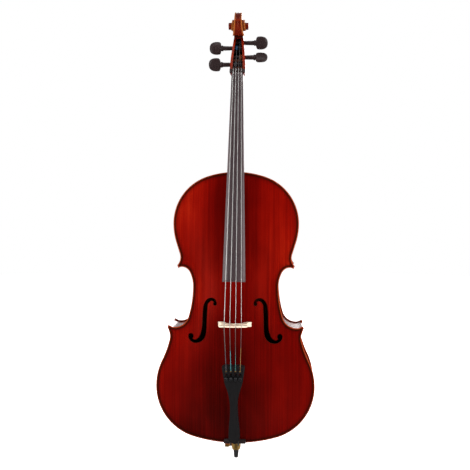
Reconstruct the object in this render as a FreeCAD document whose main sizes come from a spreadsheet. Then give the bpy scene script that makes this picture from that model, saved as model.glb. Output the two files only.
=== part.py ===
"""A full-size cello, built piece by piece the way a luthier builds it.

Frame: millimetres, +Z up the instrument, the top plate faces -Y, the bass side is -X.
The origin is the bottom of the endpin's rubber tip; the endpin's axis is X = 0, Y = 0,
halfway between the two plates.
"""
import FreeCAD, Part
import Sketcher
import math
import os
import re

V = FreeCAD.Vector
doc = FreeCAD.newDocument("Cello")

# ---------------------------------------------------------------------------
# Driving dimensions
# ---------------------------------------------------------------------------
SIZES = {
    # body outline, heights above the bottom edge of the plates, reaches from the centre line
    "body_base": 61.0, "body_length": 755.0,
    "lower_bout_width": 442.6, "lower_bout_height": 158.0,
    "waist_width": 238.4, "waist_height": 435.0,
    "upper_bout_width": 350.2, "upper_bout_height": 611.0,
    "lower_corner_reach": 190.8, "lower_corner_height": 320.5,
    "upper_corner_reach": 164.0, "upper_corner_height": 493.5,
    # walls and plates
    "rib_height": 115.0, "rib_thickness": 1.6, "overhang": 4.0,
    "edge_thickness": 4.6, "plate_thickness": 4.6,
    "top_arch_rise": 21.0, "back_arch_rise": 21.0, "inner_shrink": 8.0,
    "arch_base_reach": 51.5, "arch_end_inset": 12.5,
    "arch_lower_reach": 161.0, "arch_lower_height": 145.7, "arch_lower_spread": 213.0,
    "arch_upper_reach": 114.4, "arch_upper_height": 625.3, "arch_upper_spread": 164.2,
    "lining_width": 7.0, "lining_height": 18.0,
    "end_block_width": 110.0, "end_block_depth": 26.0,
    "neck_block_width": 120.0, "neck_block_depth": 42.0,
    # sound holes
    "upper_eye_reach": 56.0, "upper_eye_height": 389.0, "upper_eye_radius": 5.3,
    "lower_eye_reach": 123.6, "lower_eye_height": 298.0, "lower_eye_radius": 7.7,
    "stem_width": 10.2,
    # bass bar and sound post
    "bar_length": 560.0, "bar_width": 11.0, "bar_height": 25.0, "bar_reach": 33.0,
    "post_radius": 5.5, "post_reach": 36.0, "post_drop": 14.0,
    # neck, fingerboard and nut
    "neck_length": 280.0, "overstand": 21.3, "neck_aim_drop": 21.870, "neck_depth": 20.0,
    "mortise_depth": 10.0, "heel_width": 28.0,
    "board_length": 587.0, "board_nut_width": 32.0, "board_end_width": 62.0,
    "board_radius": 62.0, "board_side": 6.2,
    "nut_length": 9.0, "nut_width": 44.0, "nut_side": 6.09,
    # pegbox and scroll
    "pegbox_width": 44.0, "pegbox_lean": 24.0, "pegbox_length": 116.0, "throat_width": 27.0,
    "cheek_thickness": 7.5, "pegbox_floor": 9.5,
    "eye_height": 143.0, "eye_offset": 43.712, "scroll_radius": 40.0, "scroll_ratio": 0.83,
    "volute_width": 21.0, "second_turn_width": 33.0, "scroll_width": 61.0,
    # pegs
    "peg_radius": 6.4, "peg_clearance": 0.35, "peg_head_length": 34.0, "peg_head_width": 38.0,
    "peg_head_thickness": 15.0, "peg_reach": 84.0, "shaft_start": 42.5, "shaft_taper": 0.0248,
    "winding_radius": 7.8, "winding_width": 7.0,
    # bridge, saddle, tailpiece
    "body_stop": 425.0, "bridge_height": 90.0, "bridge_foot_span": 91.0,
    "bridge_crown_span": 75.0, "bridge_crown_radius": 66.0,
    "bridge_foot_thickness": 12.5, "bridge_crown_thickness": 3.2, "bridge_lean": 12.0,
    "saddle_width": 60.0, "saddle_length": 12.0, "saddle_rise": 8.0,
    "tailpiece_length": 234.0, "tailpiece_head_width": 61.5, "tailpiece_waist_width": 21.0,
    "tailpiece_foot_width": 31.0, "tailpiece_thickness": 13.0, "tailpiece_wall": 3.0,
    "tailpiece_bow": 110.0, "gut_radius": 1.8,
    # fine tuners, measured from the tailpiece's head edge or its front
    "hook_inset": 10.0, "axle_inset": 20.0, "axle_depth": 6.0, "axle_radius": 1.25,
    "tuning_screw_inset": 34.0, "lever_width": 5.0, "lever_clearance": 0.4, "string_clearance": 0.4,
    "ball_radius": 1.9, "ball_length": 4.2, "string_end_gap": 0.3,
    # strings
    "nut_spread": 22.6, "bridge_spread": 45.6, "tail_spread": 37.5,
    # endpin
    "rod_radius": 5.0, "rod_length": 430.0, "rod_clearance": 0.3, "tip_height": 23.3,
    "tip_radius": 8.0, "tip_foot_radius": 4.6, "ferrule_radius": 13.0, "ferrule_length": 36.4,
    "plug_radius": 14.0, "plug_end_radius": 12.0, "plug_length": 34.0, "plug_neck_radius": 9.0,
    "screw_radius": 3.0, "screw_height": 35.0, "knob_radius": 6.3, "knob_length": 13.0,
}
sheet = doc.addObject("Spreadsheet::Sheet", "Sizes")
for row, (alias, value) in enumerate(SIZES.items(), start=1):
    sheet.set("A%d" % row, alias)
    sheet.set("B%d" % row, str(value))
    sheet.setAlias("B%d" % row, alias)
doc.recompute()


def size(alias):
    """The value of one named cell of the sheet."""
    return float(sheet.get(alias))


BODY_BASE = size("body_base")
BODY_TOP = BODY_BASE + size("body_length")
RIB_PLANE = size("rib_height") / 2
EDGE_PLANE = RIB_PLANE + size("edge_thickness")
RIB_INSET = size("overhang") + size("rib_thickness")


# ---------------------------------------------------------------------------
# Outlines: chains of tangent arcs, as they are drawn with compasses
# ---------------------------------------------------------------------------
def direction(angle):
    """Unit vector of a heading in degrees, counted from the first axis."""
    return math.cos(math.radians(angle)), math.sin(math.radians(angle))


def biarc(start, start_heading, end, end_heading, ratio):
    """Two tangent arcs that join two points at given headings.

    ratio is the first tangent length over the second; each arc is (start, heading, end).
    """
    first = direction(start_heading)
    last = direction(end_heading)
    chord = (end[0] - start[0], end[1] - start[1])
    dot = first[0] * last[0] + first[1] * last[1]
    a = ratio * ratio + 1 + 2 * ratio * dot - (ratio + 1) ** 2
    b = -2 * (ratio * (chord[0] * first[0] + chord[1] * first[1])
              + chord[0] * last[0] + chord[1] * last[1])
    c = chord[0] ** 2 + chord[1] ** 2
    if abs(a) < 1e-9:
        tangent = -c / b
    else:
        root = math.sqrt(b * b - 4 * a * c)
        tangent = min(t for t in ((-b - root) / (2 * a), (-b + root) / (2 * a)) if t > 0)
    leave = (start[0] + ratio * tangent * first[0], start[1] + ratio * tangent * first[1])
    arrive = (end[0] - tangent * last[0], end[1] - tangent * last[1])
    share = ratio / (ratio + 1)
    middle = (leave[0] + (arrive[0] - leave[0]) * share, leave[1] + (arrive[1] - leave[1]) * share)
    middle_heading = math.degrees(math.atan2(arrive[1] - leave[1], arrive[0] - leave[0]))
    return [(start, start_heading, middle), (middle, middle_heading, end)]


def arc_circle(start, start_heading, end):
    """Centre and signed radius of an arc (left turns positive), or None if it is straight."""
    first = direction(start_heading)
    across = (end[0] - start[0], end[1] - start[1])
    turn = first[0] * across[1] - first[1] * across[0]
    chord = across[0] ** 2 + across[1] ** 2
    if abs(turn) < 1e-7 * chord:
        return None
    radius = chord / (2 * turn)
    return (start[0] - first[1] * radius, start[1] + first[0] * radius), radius


def chain(nodes):
    """Arcs and lines through nodes (point, heading, ratio); ratio None is a straight run."""
    runs = []
    point, heading, _ = nodes[0]
    for next_point, next_heading, ratio in nodes[1:]:
        if ratio is None:
            runs.append((point, None, next_point))
        else:
            runs += biarc(point, heading, next_point, next_heading, ratio)
        point, heading = next_point, next_heading
    return runs


def run_edge(run, place):
    """The edge of one run; place turns its plane coordinates into a point in space."""
    start, heading, end = run
    circle = None if heading is None else arc_circle(start, heading, end)
    if circle is None:
        return Part.LineSegment(place(*start), place(*end)).toShape()
    centre, radius = circle
    half = ((start[0] + end[0]) / 2 - centre[0], (start[1] + end[1]) / 2 - centre[1])
    grow = abs(radius) / math.hypot(*half)
    top = (centre[0] + half[0] * grow, centre[1] + half[1] * grow)
    return Part.Arc(place(*start), place(*top), place(*end)).toShape()


def closed_face(edges):
    """A face inside edges that follow each other."""
    return Part.Face(Part.Wire(Part.__sortEdges__(edges)))


def front_plane(y):
    """Plane coordinates (x, z) to a point at depth y."""
    return lambda x, z: V(x, y, z)


def side_plane(x):
    """Plane coordinates (y, z) to a point at reach x."""
    return lambda y, z: V(x, y, z)


def polygon_face(points, place):
    """A flat face with straight sides."""
    corners = [place(*point) for point in points]
    return Part.Face(Part.makePolygon(corners + corners[:1]))


def bout_nodes():
    """The treble half of the plate outline, from the bottom centre up to the top centre."""
    corner = (size("lower_corner_reach"), BODY_BASE + size("lower_corner_height"))
    upper = (size("upper_corner_reach"), BODY_BASE + size("upper_corner_height"))
    bout = (size("lower_bout_width") / 2, BODY_BASE + size("lower_bout_height"))
    waist = (size("waist_width") / 2, BODY_BASE + size("waist_height"))
    shoulder = (size("upper_bout_width") / 2, BODY_BASE + size("upper_bout_height"))
    return [
        ((0, BODY_BASE), 0, None),
        (bout, 90, 0.53),
        ((corner[0] - 6.3, corner[1] - 35.5), 104, 1.2),
        (corner, 62, 1.0),
        ((corner[0] - 3.2, corner[1] + 6.8), 212, None),
        ((corner[0] - 20.5, corner[1] + 0.5), 180, 1.0),
        (waist, 90, 0.68),
        ((upper[0] - 12.8, upper[1] - 4.5), 0, 1.38),
        ((upper[0] - 3.6, upper[1] - 8.0), -41, 1.0),
        (upper, 134, None),
        ((upper[0] - 7.2, upper[1] + 32.5), 72, 1.0),
        (shoulder, 90, 0.68),
        ((0, BODY_TOP), 180, 2.4),
    ]


OUTLINE = chain(bout_nodes())


def mirrored(shape):
    """The bass side's twin of a treble side shape."""
    return shape.mirror(V(0, 0, 0), V(1, 0, 0))


def whole_outline(y):
    """The full plate outline as a face at depth y."""
    edges = [run_edge(run, front_plane(y)) for run in OUTLINE]
    return closed_face(edges + [mirrored(edge) for edge in edges])


def inset_outline(y, inset):
    """The plate outline moved inwards by inset, as a face at depth y."""
    return whole_outline(y).makeOffset2D(-inset)


def half_region(y, face):
    """The treble half of a face at depth y."""
    wide = size("lower_bout_width")
    tall = size("body_length") + 145
    half = Part.makePlane(wide, tall, V(0, y, BODY_BASE - 50), V(0, -1, 0), V(1, 0, 0))
    return face.common(half)


# ---------------------------------------------------------------------------
# Arching: the height of a plate above its flat edge
# ---------------------------------------------------------------------------
def arch_half_width(z):
    """Reach of the arching from the centre line at a height, smooth past the corners."""
    lower = (z - BODY_BASE - size("arch_lower_height")) / size("arch_lower_spread")
    upper = (z - BODY_BASE - size("arch_upper_height")) / size("arch_upper_spread")
    return (size("arch_base_reach") + size("arch_lower_reach") * math.exp(-lower ** 2)
            + size("arch_upper_reach") * math.exp(-upper ** 2))


def arch_height(x, z, rise, shrink):
    """Height of the arch above the plate's edge plane; shrink pulls its run-out inwards.

    The arch falls as 10 ** -(|x / reach|^3 + |along|^7) and crosses the edge plane where
    that sum is 1, which is a rounded line a channel's width inside the outline.
    """
    sink = rise / 9
    middle = BODY_BASE + size("body_length") / 2
    half_length = size("body_length") / 2 - size("arch_end_inset") - shrink
    across = abs(x) / (arch_half_width(z) - shrink)
    along = abs(z - middle) / half_length
    return (rise + sink) * 10 ** -(across ** 3.0 + along ** 7.0) - sink


def arched_face(side, level, rise, shrink):
    """The surface of an arch over the treble half, as one smooth patch.

    side is -1 for the top and +1 for the back; level is the depth of its flat edge.
    """
    columns = 13
    rows = 25
    across = size("lower_bout_width") / 2 + 20
    margin = 16
    points = []
    for column in range(columns):
        x = across * (column - 1) / (columns - 2)
        line = []
        for row in range(rows):
            z = BODY_BASE - margin + (size("body_length") + 2 * margin) * row / (rows - 1)
            line.append(V(x, side * (level + arch_height(x, z, rise, shrink)), z))
        points.append(line)
    surface = Part.BSplineSurface()
    surface.interpolate(points)
    return surface.toShape()


BIG = 200.0
ARCH_ROOM = 60.0
TOP_SIDE = -1
BACK_SIDE = 1


def under_arch(side, level, rise, shrink):
    """Everything on the inner side of an arched surface, over the treble half."""
    return arched_face(side, level, rise, shrink).extrude(V(0, -side * BIG, 0))


def inner_arch(side, rise):
    """Everything on the inner side of a plate's carved inner surface."""
    inner_rise = rise + size("edge_thickness") - size("plate_thickness")
    return under_arch(side, RIB_PLANE, inner_rise, size("inner_shrink"))


# ---------------------------------------------------------------------------
# The blocks' plan, shared by the blocks, the linings and the plates' hollows
# ---------------------------------------------------------------------------
def corner_cuts():
    """Plan of the two treble corner blocks, each as a polygon reaching past the ribs."""
    low = (size("lower_corner_reach"), BODY_BASE + size("lower_corner_height"))
    high = (size("upper_corner_reach"), BODY_BASE + size("upper_corner_height"))
    lower = [(low[0] - 55, low[1] + 24), (low[0] + 40, low[1] + 24),
             (low[0] + 40, low[1] - 50), (low[0] - 19, low[1] - 50)]
    upper = [(high[0] - 40, high[1] - 28), (high[0] + 40, high[1] - 28),
             (high[0] + 40, high[1] + 36), (high[0] - 20, high[1] + 36)]
    return lower, upper


def end_cut():
    """Plan of the end block."""
    half = size("end_block_width") / 2
    top = BODY_BASE + RIB_INSET + size("end_block_depth")
    return [(-half, BODY_BASE - 10), (half, BODY_BASE - 10), (half, top), (-half, top)]


def neck_cut():
    """Plan of the neck block."""
    half = size("neck_block_width") / 2
    low = BODY_TOP - RIB_INSET - size("neck_block_depth")
    return [(-half, low), (half, low), (half, BODY_TOP + 10), (-half, BODY_TOP + 10)]


def block_plans():
    """Every block plan on the treble half."""
    return list(corner_cuts()) + [end_cut(), neck_cut()]


def prism(points, low, high):
    """A straight-sided prism in Z-X plan between two depths."""
    return polygon_face(points, front_plane(low)).extrude(V(0, high - low, 0))


# ---------------------------------------------------------------------------
# Sound holes
# ---------------------------------------------------------------------------
def hole_edges():
    """Outline of the treble sound hole's curved stem, running through both eyes' centres."""
    up = (size("upper_eye_reach"), BODY_BASE + size("upper_eye_height"))
    low = (size("lower_eye_reach"), BODY_BASE + size("lower_eye_height"))
    half = size("stem_width") / 2
    small = size("upper_eye_radius")
    large = size("lower_eye_radius")
    middle = ((up[0] + low[0]) / 2 - 4.6, (up[1] + low[1]) / 2 - 2.0)
    outer = [
        ((up[0] - small, up[1]), 90, None),
        ((up[0] + 10.0, up[1] + 16.5), 0, 1.0),
        ((middle[0] + half - 0.4, middle[1] + 35), -84, 1.0),
        ((middle[0] + half + 1.9, middle[1] - 14), -87, 1.0),
        ((low[0] - 12.5, low[1] - 9.5), -22, 1.2),
        ((low[0] - 4.5, low[1] - 6.2), 35, 1.0),
    ]
    inner = [
        ((low[0] + large, low[1]), -90, None),
        ((low[0] - 13.2, low[1] - 19.0), 180, 1.0),
        ((middle[0] - half + 0.4, middle[1] - 35), 96, 1.0),
        ((middle[0] - half - 1.9, middle[1] + 14), 93, 1.0),
        ((up[0] + 10.0, up[1] + 7.6), 160, 1.2),
        ((up[0] + 3.2, up[1] + 4.2), 215, 1.0),
    ]
    return up, low, chain(outer), chain(inner)


def sound_hole(low_depth, high_depth):
    """The treble sound hole as a cutter: two round eyes joined by the stem."""
    up, low, outer, inner = hole_edges()
    joints = [(outer[-1][2], None, low), (low, None, inner[0][0]),
              (inner[-1][2], None, up), (up, None, outer[0][0])]
    runs = outer + joints[:2] + inner + joints[2:]
    place = front_plane(low_depth)
    through = V(0, high_depth - low_depth, 0)
    stem = closed_face([run_edge(run, place) for run in runs]).extrude(through)
    eyes = [Part.makeCylinder(radius, high_depth - low_depth, V(eye[0], low_depth, eye[1]), V(0, 1, 0))
            for eye, radius in ((up, size("upper_eye_radius")), (low, size("lower_eye_radius")))]
    return [stem] + eyes


# ---------------------------------------------------------------------------
# Plates
# ---------------------------------------------------------------------------
def half_plate(side, rise):
    """One carved half of a plate: a flat edge with the arch on it, hollowed inside."""
    plan = half_region(side * RIB_PLANE, whole_outline(side * RIB_PLANE))
    slab = plan.extrude(V(0, side * size("edge_thickness"), 0))
    above = half_region(side * EDGE_PLANE, whole_outline(side * EDGE_PLANE))
    dome = above.extrude(V(0, side * ARCH_ROOM, 0)).common(under_arch(side, EDGE_PLANE, rise, 0))
    room = plan.extrude(V(0, side * ARCH_ROOM, 0))
    for block in block_plans():
        room = room.cut(prism(block, side * (RIB_PLANE - 1), side * (RIB_PLANE + ARCH_ROOM)))
    return slab.fuse(dome).cut(room.common(inner_arch(side, rise)))


# ---------------------------------------------------------------------------
# Document helpers
# ---------------------------------------------------------------------------
PARTS = []


def keep(item, label):
    """Name a finished sub-part; its label names its file."""
    item.Label = label
    PARTS.append(item)
    return item


def feature(label, shape):
    """A sub-part whose shape only Part's own functions can make."""
    item = doc.addObject("Part::Feature", label)
    item.Shape = shape
    return keep(item, label)


def bind(item, **formulas):
    """Tie an object's properties to the sheet; each bare word is one of its cells."""
    for name, formula in formulas.items():
        item.setExpression(name.replace("__", "."), with_sheet(formula))


def with_sheet(formula):
    """A formula with every cell name written as the sheet's."""
    return re.sub(r"[a-z_]+", lambda word: "Sizes." + word[0] if word[0] in SIZES else word[0], formula)


def plane_sketch(body, role, height=None):
    """An empty sketch on one of a body's own planes, moved along its normal if asked."""
    sketch = body.newObject("Sketcher::SketchObject", body.Name + "Sketch")
    plane = next(item for item in body.Origin.OriginFeatures if item.Role == role)
    sketch.AttachmentSupport = [(plane, "")]
    sketch.MapMode = "FlatFace"
    if height is not None:
        bind(sketch, AttachmentOffset__Base__z=height)
    return sketch


def fix_point(sketch, line, end, axis, formula):
    """Tie one coordinate of a line's end to the sheet, or to the axis if it is zero."""
    if formula == "0":
        sketch.addConstraint(Sketcher.Constraint("PointOnObject", line, end, -2 if axis == "X" else -1))
        return
    at = getattr(sketch.getPoint(line, end), axis.lower())
    index = sketch.addConstraint(Sketcher.Constraint("Distance" + axis, -1, 1, line, end, at))
    sketch.setExpression("Constraints[%d]" % index, with_sheet(formula))


def drawn_polygon(sketch, corners):
    """A closed polygon whose corners' coordinates are formulas of the sheet."""
    rough = [V(value_of(x), value_of(y), 0) for x, y in corners]
    for index, point in enumerate(rough):
        sketch.addGeometry(Part.LineSegment(point, rough[(index + 1) % len(rough)]))
    for index in range(len(rough)):
        following = (index + 1) % len(rough)
        sketch.addConstraint(Sketcher.Constraint("Coincident", index, 2, following, 1))
    for index, (x, y) in enumerate(corners):
        fix_point(sketch, index, 1, "X", x)
        fix_point(sketch, index, 1, "Y", y)


def value_of(formula):
    """A formula's value, worked out by the sheet itself."""
    return float(sheet.evalExpression(with_sheet(formula)))


def placed(origin, axis=V(0, 0, 1), angle=0):
    """A placement from an origin and a turn about an axis."""
    return FreeCAD.Placement(origin, FreeCAD.Rotation(axis, angle))


def turned(label, corners, placement):
    """A turned sub-part: a polygon of (radius, height) formulas revolved about its own Z."""
    body = doc.addObject("PartDesign::Body", label)
    sketch = plane_sketch(body, "XZ_Plane")
    drawn_polygon(sketch, corners)
    turn = body.newObject("PartDesign::Revolution", label + "Turn")
    turn.Profile = sketch
    turn.ReferenceAxis = (sketch, ["V_Axis"])
    turn.Angle = 360.0
    sketch.Visibility = False
    body.Placement = placement
    return body


def padded(label, corners, length, placement, role="XY_Plane"):
    """A straight sub-part: a polygon of formulas padded to a length."""
    body = doc.addObject("PartDesign::Body", label)
    sketch = plane_sketch(body, role)
    drawn_polygon(sketch, corners)
    pad = body.newObject("PartDesign::Pad", label + "Pad")
    pad.Profile = sketch
    bind(pad, Length=length)
    body.Placement = placement
    return body


# ---------------------------------------------------------------------------
# Lines that the neck, the strings and the tailpiece share
# ---------------------------------------------------------------------------
NUT_HEIGHT = BODY_TOP + size("neck_length")
BRIDGE_LINE = BODY_TOP - size("body_stop")
PLATE_CROWN = EDGE_PLANE + size("top_arch_rise")
BRIDGE_TOP = PLATE_CROWN + size("bridge_height")
CROWN_LINE = BRIDGE_LINE + size("bridge_lean")
# The neck's front line points a little below the bridge's crown.
NECK_AIM = PLATE_CROWN + size("bridge_height") - size("neck_aim_drop")
NECK_SLOPE = (NECK_AIM - EDGE_PLANE - size("overstand")) / size("body_stop")
NECK_TILT = math.degrees(math.atan(NECK_SLOPE))


def glue_depth(z):
    """Depth of the neck's flat gluing surface at a height."""
    return -(EDGE_PLANE + size("overstand")) + NECK_SLOPE * (z - BODY_TOP)


UP_NECK = V(0, NECK_SLOPE, 1).normalize()
OUT_OF_NECK = V(0, -1, NECK_SLOPE).normalize()
BOARD_START = V(0, glue_depth(NUT_HEIGHT), NUT_HEIGHT)
BOARD_TURN = FreeCAD.Rotation(V(1, 0, 0), 180 - NECK_TILT)


def board_width(z):
    """Width of the fingerboard, and of the neck under it, at a height."""
    share = (NUT_HEIGHT - z) / size("board_length")
    return size("board_nut_width") + share * (size("board_end_width") - size("board_nut_width"))


# ---------------------------------------------------------------------------
# Neck, pegbox and scroll: one piece of maple
# ---------------------------------------------------------------------------
EYE = (glue_depth(NUT_HEIGHT) + size("eye_offset"), NUT_HEIGHT + size("eye_height"))
THROAT = NUT_HEIGHT + size("pegbox_length")


def half_round(z, depth):
    """A neck section at one height: flat in front, half an ellipse behind."""
    half = board_width(z) / 2
    front = glue_depth(z)
    flat = Part.LineSegment(V(-half, front, z), V(half, front, z)).toShape()
    if depth >= half:
        ellipse = Part.Ellipse(V(0, front + depth, z), V(half, front, z), V(0, front, z))
    else:
        ellipse = Part.Ellipse(V(half, front, z), V(0, front + depth, z), V(0, front, z))
    arc = Part.Arc(ellipse, *sorted(ellipse.parameter(V(side * half, front, z)) for side in (-1, 1)))
    if arc.value((arc.FirstParameter + arc.LastParameter) / 2).y < front:
        first, last = arc.FirstParameter, arc.LastParameter
        arc = Part.Arc(ellipse, last, first + 2 * math.pi)
    return Part.Wire(Part.__sortEdges__([flat, arc.toShape()]))


def neck_shaft():
    """The handle of the neck, from inside the heel to just under the nut."""
    deep = size("neck_depth")
    heights = [(BODY_TOP + 30, deep + 3), (BODY_TOP + 150, deep + 1), (NUT_HEIGHT, deep)]
    return Part.makeLoft([half_round(z, depth) for z, depth in heights], True)


def heel_profile():
    """Side view of the heel: from the mortise up to the handle, round to the button."""
    low = BODY_TOP - size("mortise_depth")
    join = BODY_TOP + 78
    button = (RIB_PLANE, BODY_TOP + 20)
    behind = (glue_depth(join) + size("neck_depth") + 2, join)
    nodes = [((RIB_PLANE, low), 90, None), (button, 165, None), (behind, 90 - NECK_TILT, 1.9),
             ((glue_depth(join), join), 270, None), ((glue_depth(low), low), 0, None),
             ((RIB_PLANE, low), 0, None)]
    runs = chain(nodes)
    return closed_face([run_edge(run, side_plane(-30)) for run in runs])


def heel():
    """The heel: its side view cut to a plan that narrows from the fingerboard to the button."""
    front = -(EDGE_PLANE + size("overstand")) - 5
    wide = board_width(BODY_TOP) / 2
    narrow = size("heel_width") / 2
    nodes = [((0, front), 0, None), ((wide, front), 90, None), ((wide, front + 12), 90, None),
             ((narrow, RIB_PLANE - 10), 90, 1.0), ((narrow, RIB_PLANE + 5), 90, None),
             ((0, RIB_PLANE + 5), 180, None)]
    place = lambda x, y: V(x, y, BODY_TOP - 40)
    edges = [run_edge(run, place) for run in chain(nodes)]
    plan = closed_face(edges + [mirrored(edge) for edge in edges])
    return heel_profile().extrude(V(60, 0, 0)).common(plan.extrude(V(0, 0, 200)))


def spiral_point(angle):
    """A point of the scroll's spiral in side view; 0 is behind the eye, 90 above it."""
    radius = size("scroll_radius") * size("scroll_ratio") ** ((angle - 90) / 90)
    return (EYE[0] + radius * math.cos(math.radians(angle)),
            EYE[1] + radius * math.sin(math.radians(angle)))


def spiral_edge(first, last, place):
    """A smooth edge along the spiral between two angles."""
    count = max(3, round(abs(last - first) / 22.5))
    angles = [first + (last - first) * index / count for index in range(count + 1)]
    curve = Part.BSplineCurve()
    curve.interpolate([place(*spiral_point(angle)) for angle in angles])
    return curve.toShape()


def pegbox_front(z):
    """Depth of the pegbox's open front at a height."""
    start = NUT_HEIGHT + size("nut_length")
    return glue_depth(start) + math.tan(math.radians(size("pegbox_lean"))) * (z - start)


def pegbox_back(z):
    """Depth of the pegbox's back at a height."""
    top = spiral_point(-26.5)
    low = (glue_depth(NUT_HEIGHT) + 51, NUT_HEIGHT + 16)
    return low[0] + (top[0] - low[0]) * (z - low[1]) / (top[1] - low[1])


def pegbox_profile():
    """Side view of the pegbox and the outer turn of the scroll."""
    under = NUT_HEIGHT - 26
    chin = NUT_HEIGHT + 16
    place = side_plane(-40)
    behind = (glue_depth(under) + size("neck_depth") + 0.3, under)
    top = spiral_point(-26.5)
    throat = (pegbox_front(THROAT), THROAT)
    end = spiral_point(272)
    nut = (glue_depth(NUT_HEIGHT + size("nut_length")), NUT_HEIGHT + size("nut_length"))
    chin_point = (pegbox_back(chin), chin)
    slant = math.degrees(math.atan2(top[1] - chin_point[1], top[0] - chin_point[0]))
    runs = [((glue_depth(under), under), None, behind)]
    runs += biarc(behind, 90 - NECK_TILT, chin_point, slant, 0.7)
    runs += [(chin_point, None, top), (end, None, throat), (throat, None, nut),
             (nut, None, (glue_depth(under), under))]
    edges = [run_edge(run, place) for run in runs]
    return closed_face(edges + [spiral_edge(-26.5, 272, place)])


def pegbox_outline(inset):
    """Front view of the pegbox and scroll; inset leaves the cheeks when it is cut."""
    wide = size("pegbox_width") / 2 - inset
    narrow = size("throat_width") / 2 - inset * 0.8
    top = EYE[1] + size("scroll_radius") + 5
    low = NUT_HEIGHT - 30
    neck = board_width(low) / 2 + 0.1 - inset
    flare = NUT_HEIGHT - 5
    slim = board_width(flare) / 2 + 0.1 - inset
    volute = size("volute_width") / 2 - inset * 0.8
    nodes = [((0, low), 0, None), ((neck, low), 90, None), ((slim, flare), 90, None),
             ((wide, NUT_HEIGHT + 0.5), 90, 1.0),
             ((narrow, THROAT - 6), 97, 1.6), ((volute, top), 91, 1.0), ((0, top), 180, None)]
    edges = [run_edge(run, front_plane(-100)) for run in chain(nodes)]
    return closed_face(edges + [mirrored(edge) for edge in edges]).extrude(V(0, 250, 0))


def pegbox_cavity():
    """The slot between the cheeks, open to the front."""
    low = NUT_HEIGHT + size("nut_length") + 1.5
    high = THROAT - 7
    floor = size("pegbox_floor")
    corners = [(pegbox_front(low) - 30, low), (pegbox_back(low) - floor, low),
               (pegbox_back(high) - floor, high), (pegbox_front(high) - 30, high)]
    room = polygon_face(corners, side_plane(-40)).extrude(V(80, 0, 0))
    return room.common(pegbox_outline(size("cheek_thickness")))


def second_turn():
    """The scroll's second turn, standing proud of the first on the treble side."""
    inner = size("volute_width") / 2 - 2
    outer = size("second_turn_width") / 2
    wires = []
    for reach, shrink in ((inner, 1.0), (outer, 0.96)):
        def place(y, z, reach=reach, shrink=shrink):
            return V(reach, EYE[0] + (y - EYE[0]) * shrink, EYE[1] + (z - EYE[1]) * shrink)
        close = (spiral_point(690), None, spiral_point(330))
        wires.append(Part.Wire([spiral_edge(330, 690, place), run_edge(close, place)]))
    return Part.makeLoft(wires, True)


def scroll_eye():
    """The eye, the innermost and widest turn, on the treble side."""
    inner = size("second_turn_width") / 2 - 1
    length = size("scroll_width") / 2 - inner
    radius = size("scroll_radius") * size("scroll_ratio") ** 6.2
    return Part.makeCone(radius, radius * 0.8, length, V(inner, EYE[0], EYE[1]), V(1, 0, 0))


# ---------------------------------------------------------------------------
# Pegs: name, height above the nut, side of the head (-1 bass), turn of the head
# ---------------------------------------------------------------------------
PEGS = {"c": (29.0, -1, 28.0), "a": (52.0, 1, 44.0), "g": (81.0, -1, -14.0), "d": (98.0, 1, -28.0)}
HOLE_SEAM = 37.0


def peg_place(name):
    """Where a peg's axis crosses the centre line."""
    z = NUT_HEIGHT + PEGS[name][0]
    return V(0, (pegbox_front(z) + pegbox_back(z) - size("pegbox_floor")) / 2, z)


def shaft_end(name):
    """Formula of the distance from a peg head's end to the shaft's, flush in the far cheek."""
    z = NUT_HEIGHT + PEGS[name][0]
    line = Part.LineSegment(V(0, 0, z), V(size("pegbox_width"), 0, z)).toShape()
    return "peg_reach + %.3f" % (line.common(pegbox_outline(0)).BoundBox.XMax - 0.6)


def shaft_radius(along):
    """Formula of a peg shaft's radius, where along is the formula of a distance from its head's end."""
    return "( peg_radius - shaft_taper * ( %s - shaft_start ) )" % along


def peg_hole(name):
    """The tapered hole for one peg through both cheeks."""
    side = PEGS[name][1]
    near = value_of(shaft_radius("( peg_reach - pegbox_width )") + " + peg_clearance")
    far = value_of(shaft_radius("( peg_reach + pegbox_width )") + " + peg_clearance")
    mouth = peg_place(name) + V(side * size("pegbox_width"), 0, 0)
    cone = Part.makeCone(near, far, 2 * size("pegbox_width"), mouth, V(-side, 0, 0))
    return cone.rotated(mouth, V(1, 0, 0), HOLE_SEAM)


def neck_piece():
    """The whole maple neck."""
    head = pegbox_profile().extrude(V(80, 0, 0)).common(pegbox_outline(0))
    turns = [second_turn(), scroll_eye()]
    solid = heel().fuse([neck_shaft(), head] + turns + [mirrored(turn) for turn in turns])
    solid = solid.cut([pegbox_cavity()] + [peg_hole(name) for name in PEGS])
    return solid.removeSplitter().Solids[0]


# ---------------------------------------------------------------------------
# Ribs, blocks and linings
# ---------------------------------------------------------------------------
PAST_RIBS = size("lower_bout_width") / 2 + 40


def corner_line(corner, slope, z_shift):
    """Height, at the centre line and well outside, of the mitre line through a corner."""
    tip = (corner[0], corner[1] + z_shift)
    return tip[1] - tip[0] * slope, tip[1] + (PAST_RIBS - tip[0]) * slope


def rib_zones():
    """Plan zones of the lower, waist and upper treble ribs, split at the corners' mitres."""
    low = (size("lower_corner_reach"), BODY_BASE + size("lower_corner_height"))
    high = (size("upper_corner_reach"), BODY_BASE + size("upper_corner_height"))
    low_in, low_out = corner_line(low, 0.84, 3.4)
    high_in, high_out = corner_line(high, -0.93, -4.0)
    lower = [(0, BODY_BASE - 10), (PAST_RIBS, BODY_BASE - 10), (PAST_RIBS, low_out), (0, low_in)]
    waist = [(0, low_in), (PAST_RIBS, low_out), (PAST_RIBS, high_out), (0, high_in)]
    upper = [(0, high_in), (PAST_RIBS, high_out), (PAST_RIBS, BODY_TOP + 10), (0, BODY_TOP + 10)]
    return {"lower": lower, "waist": waist, "upper": upper}


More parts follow.
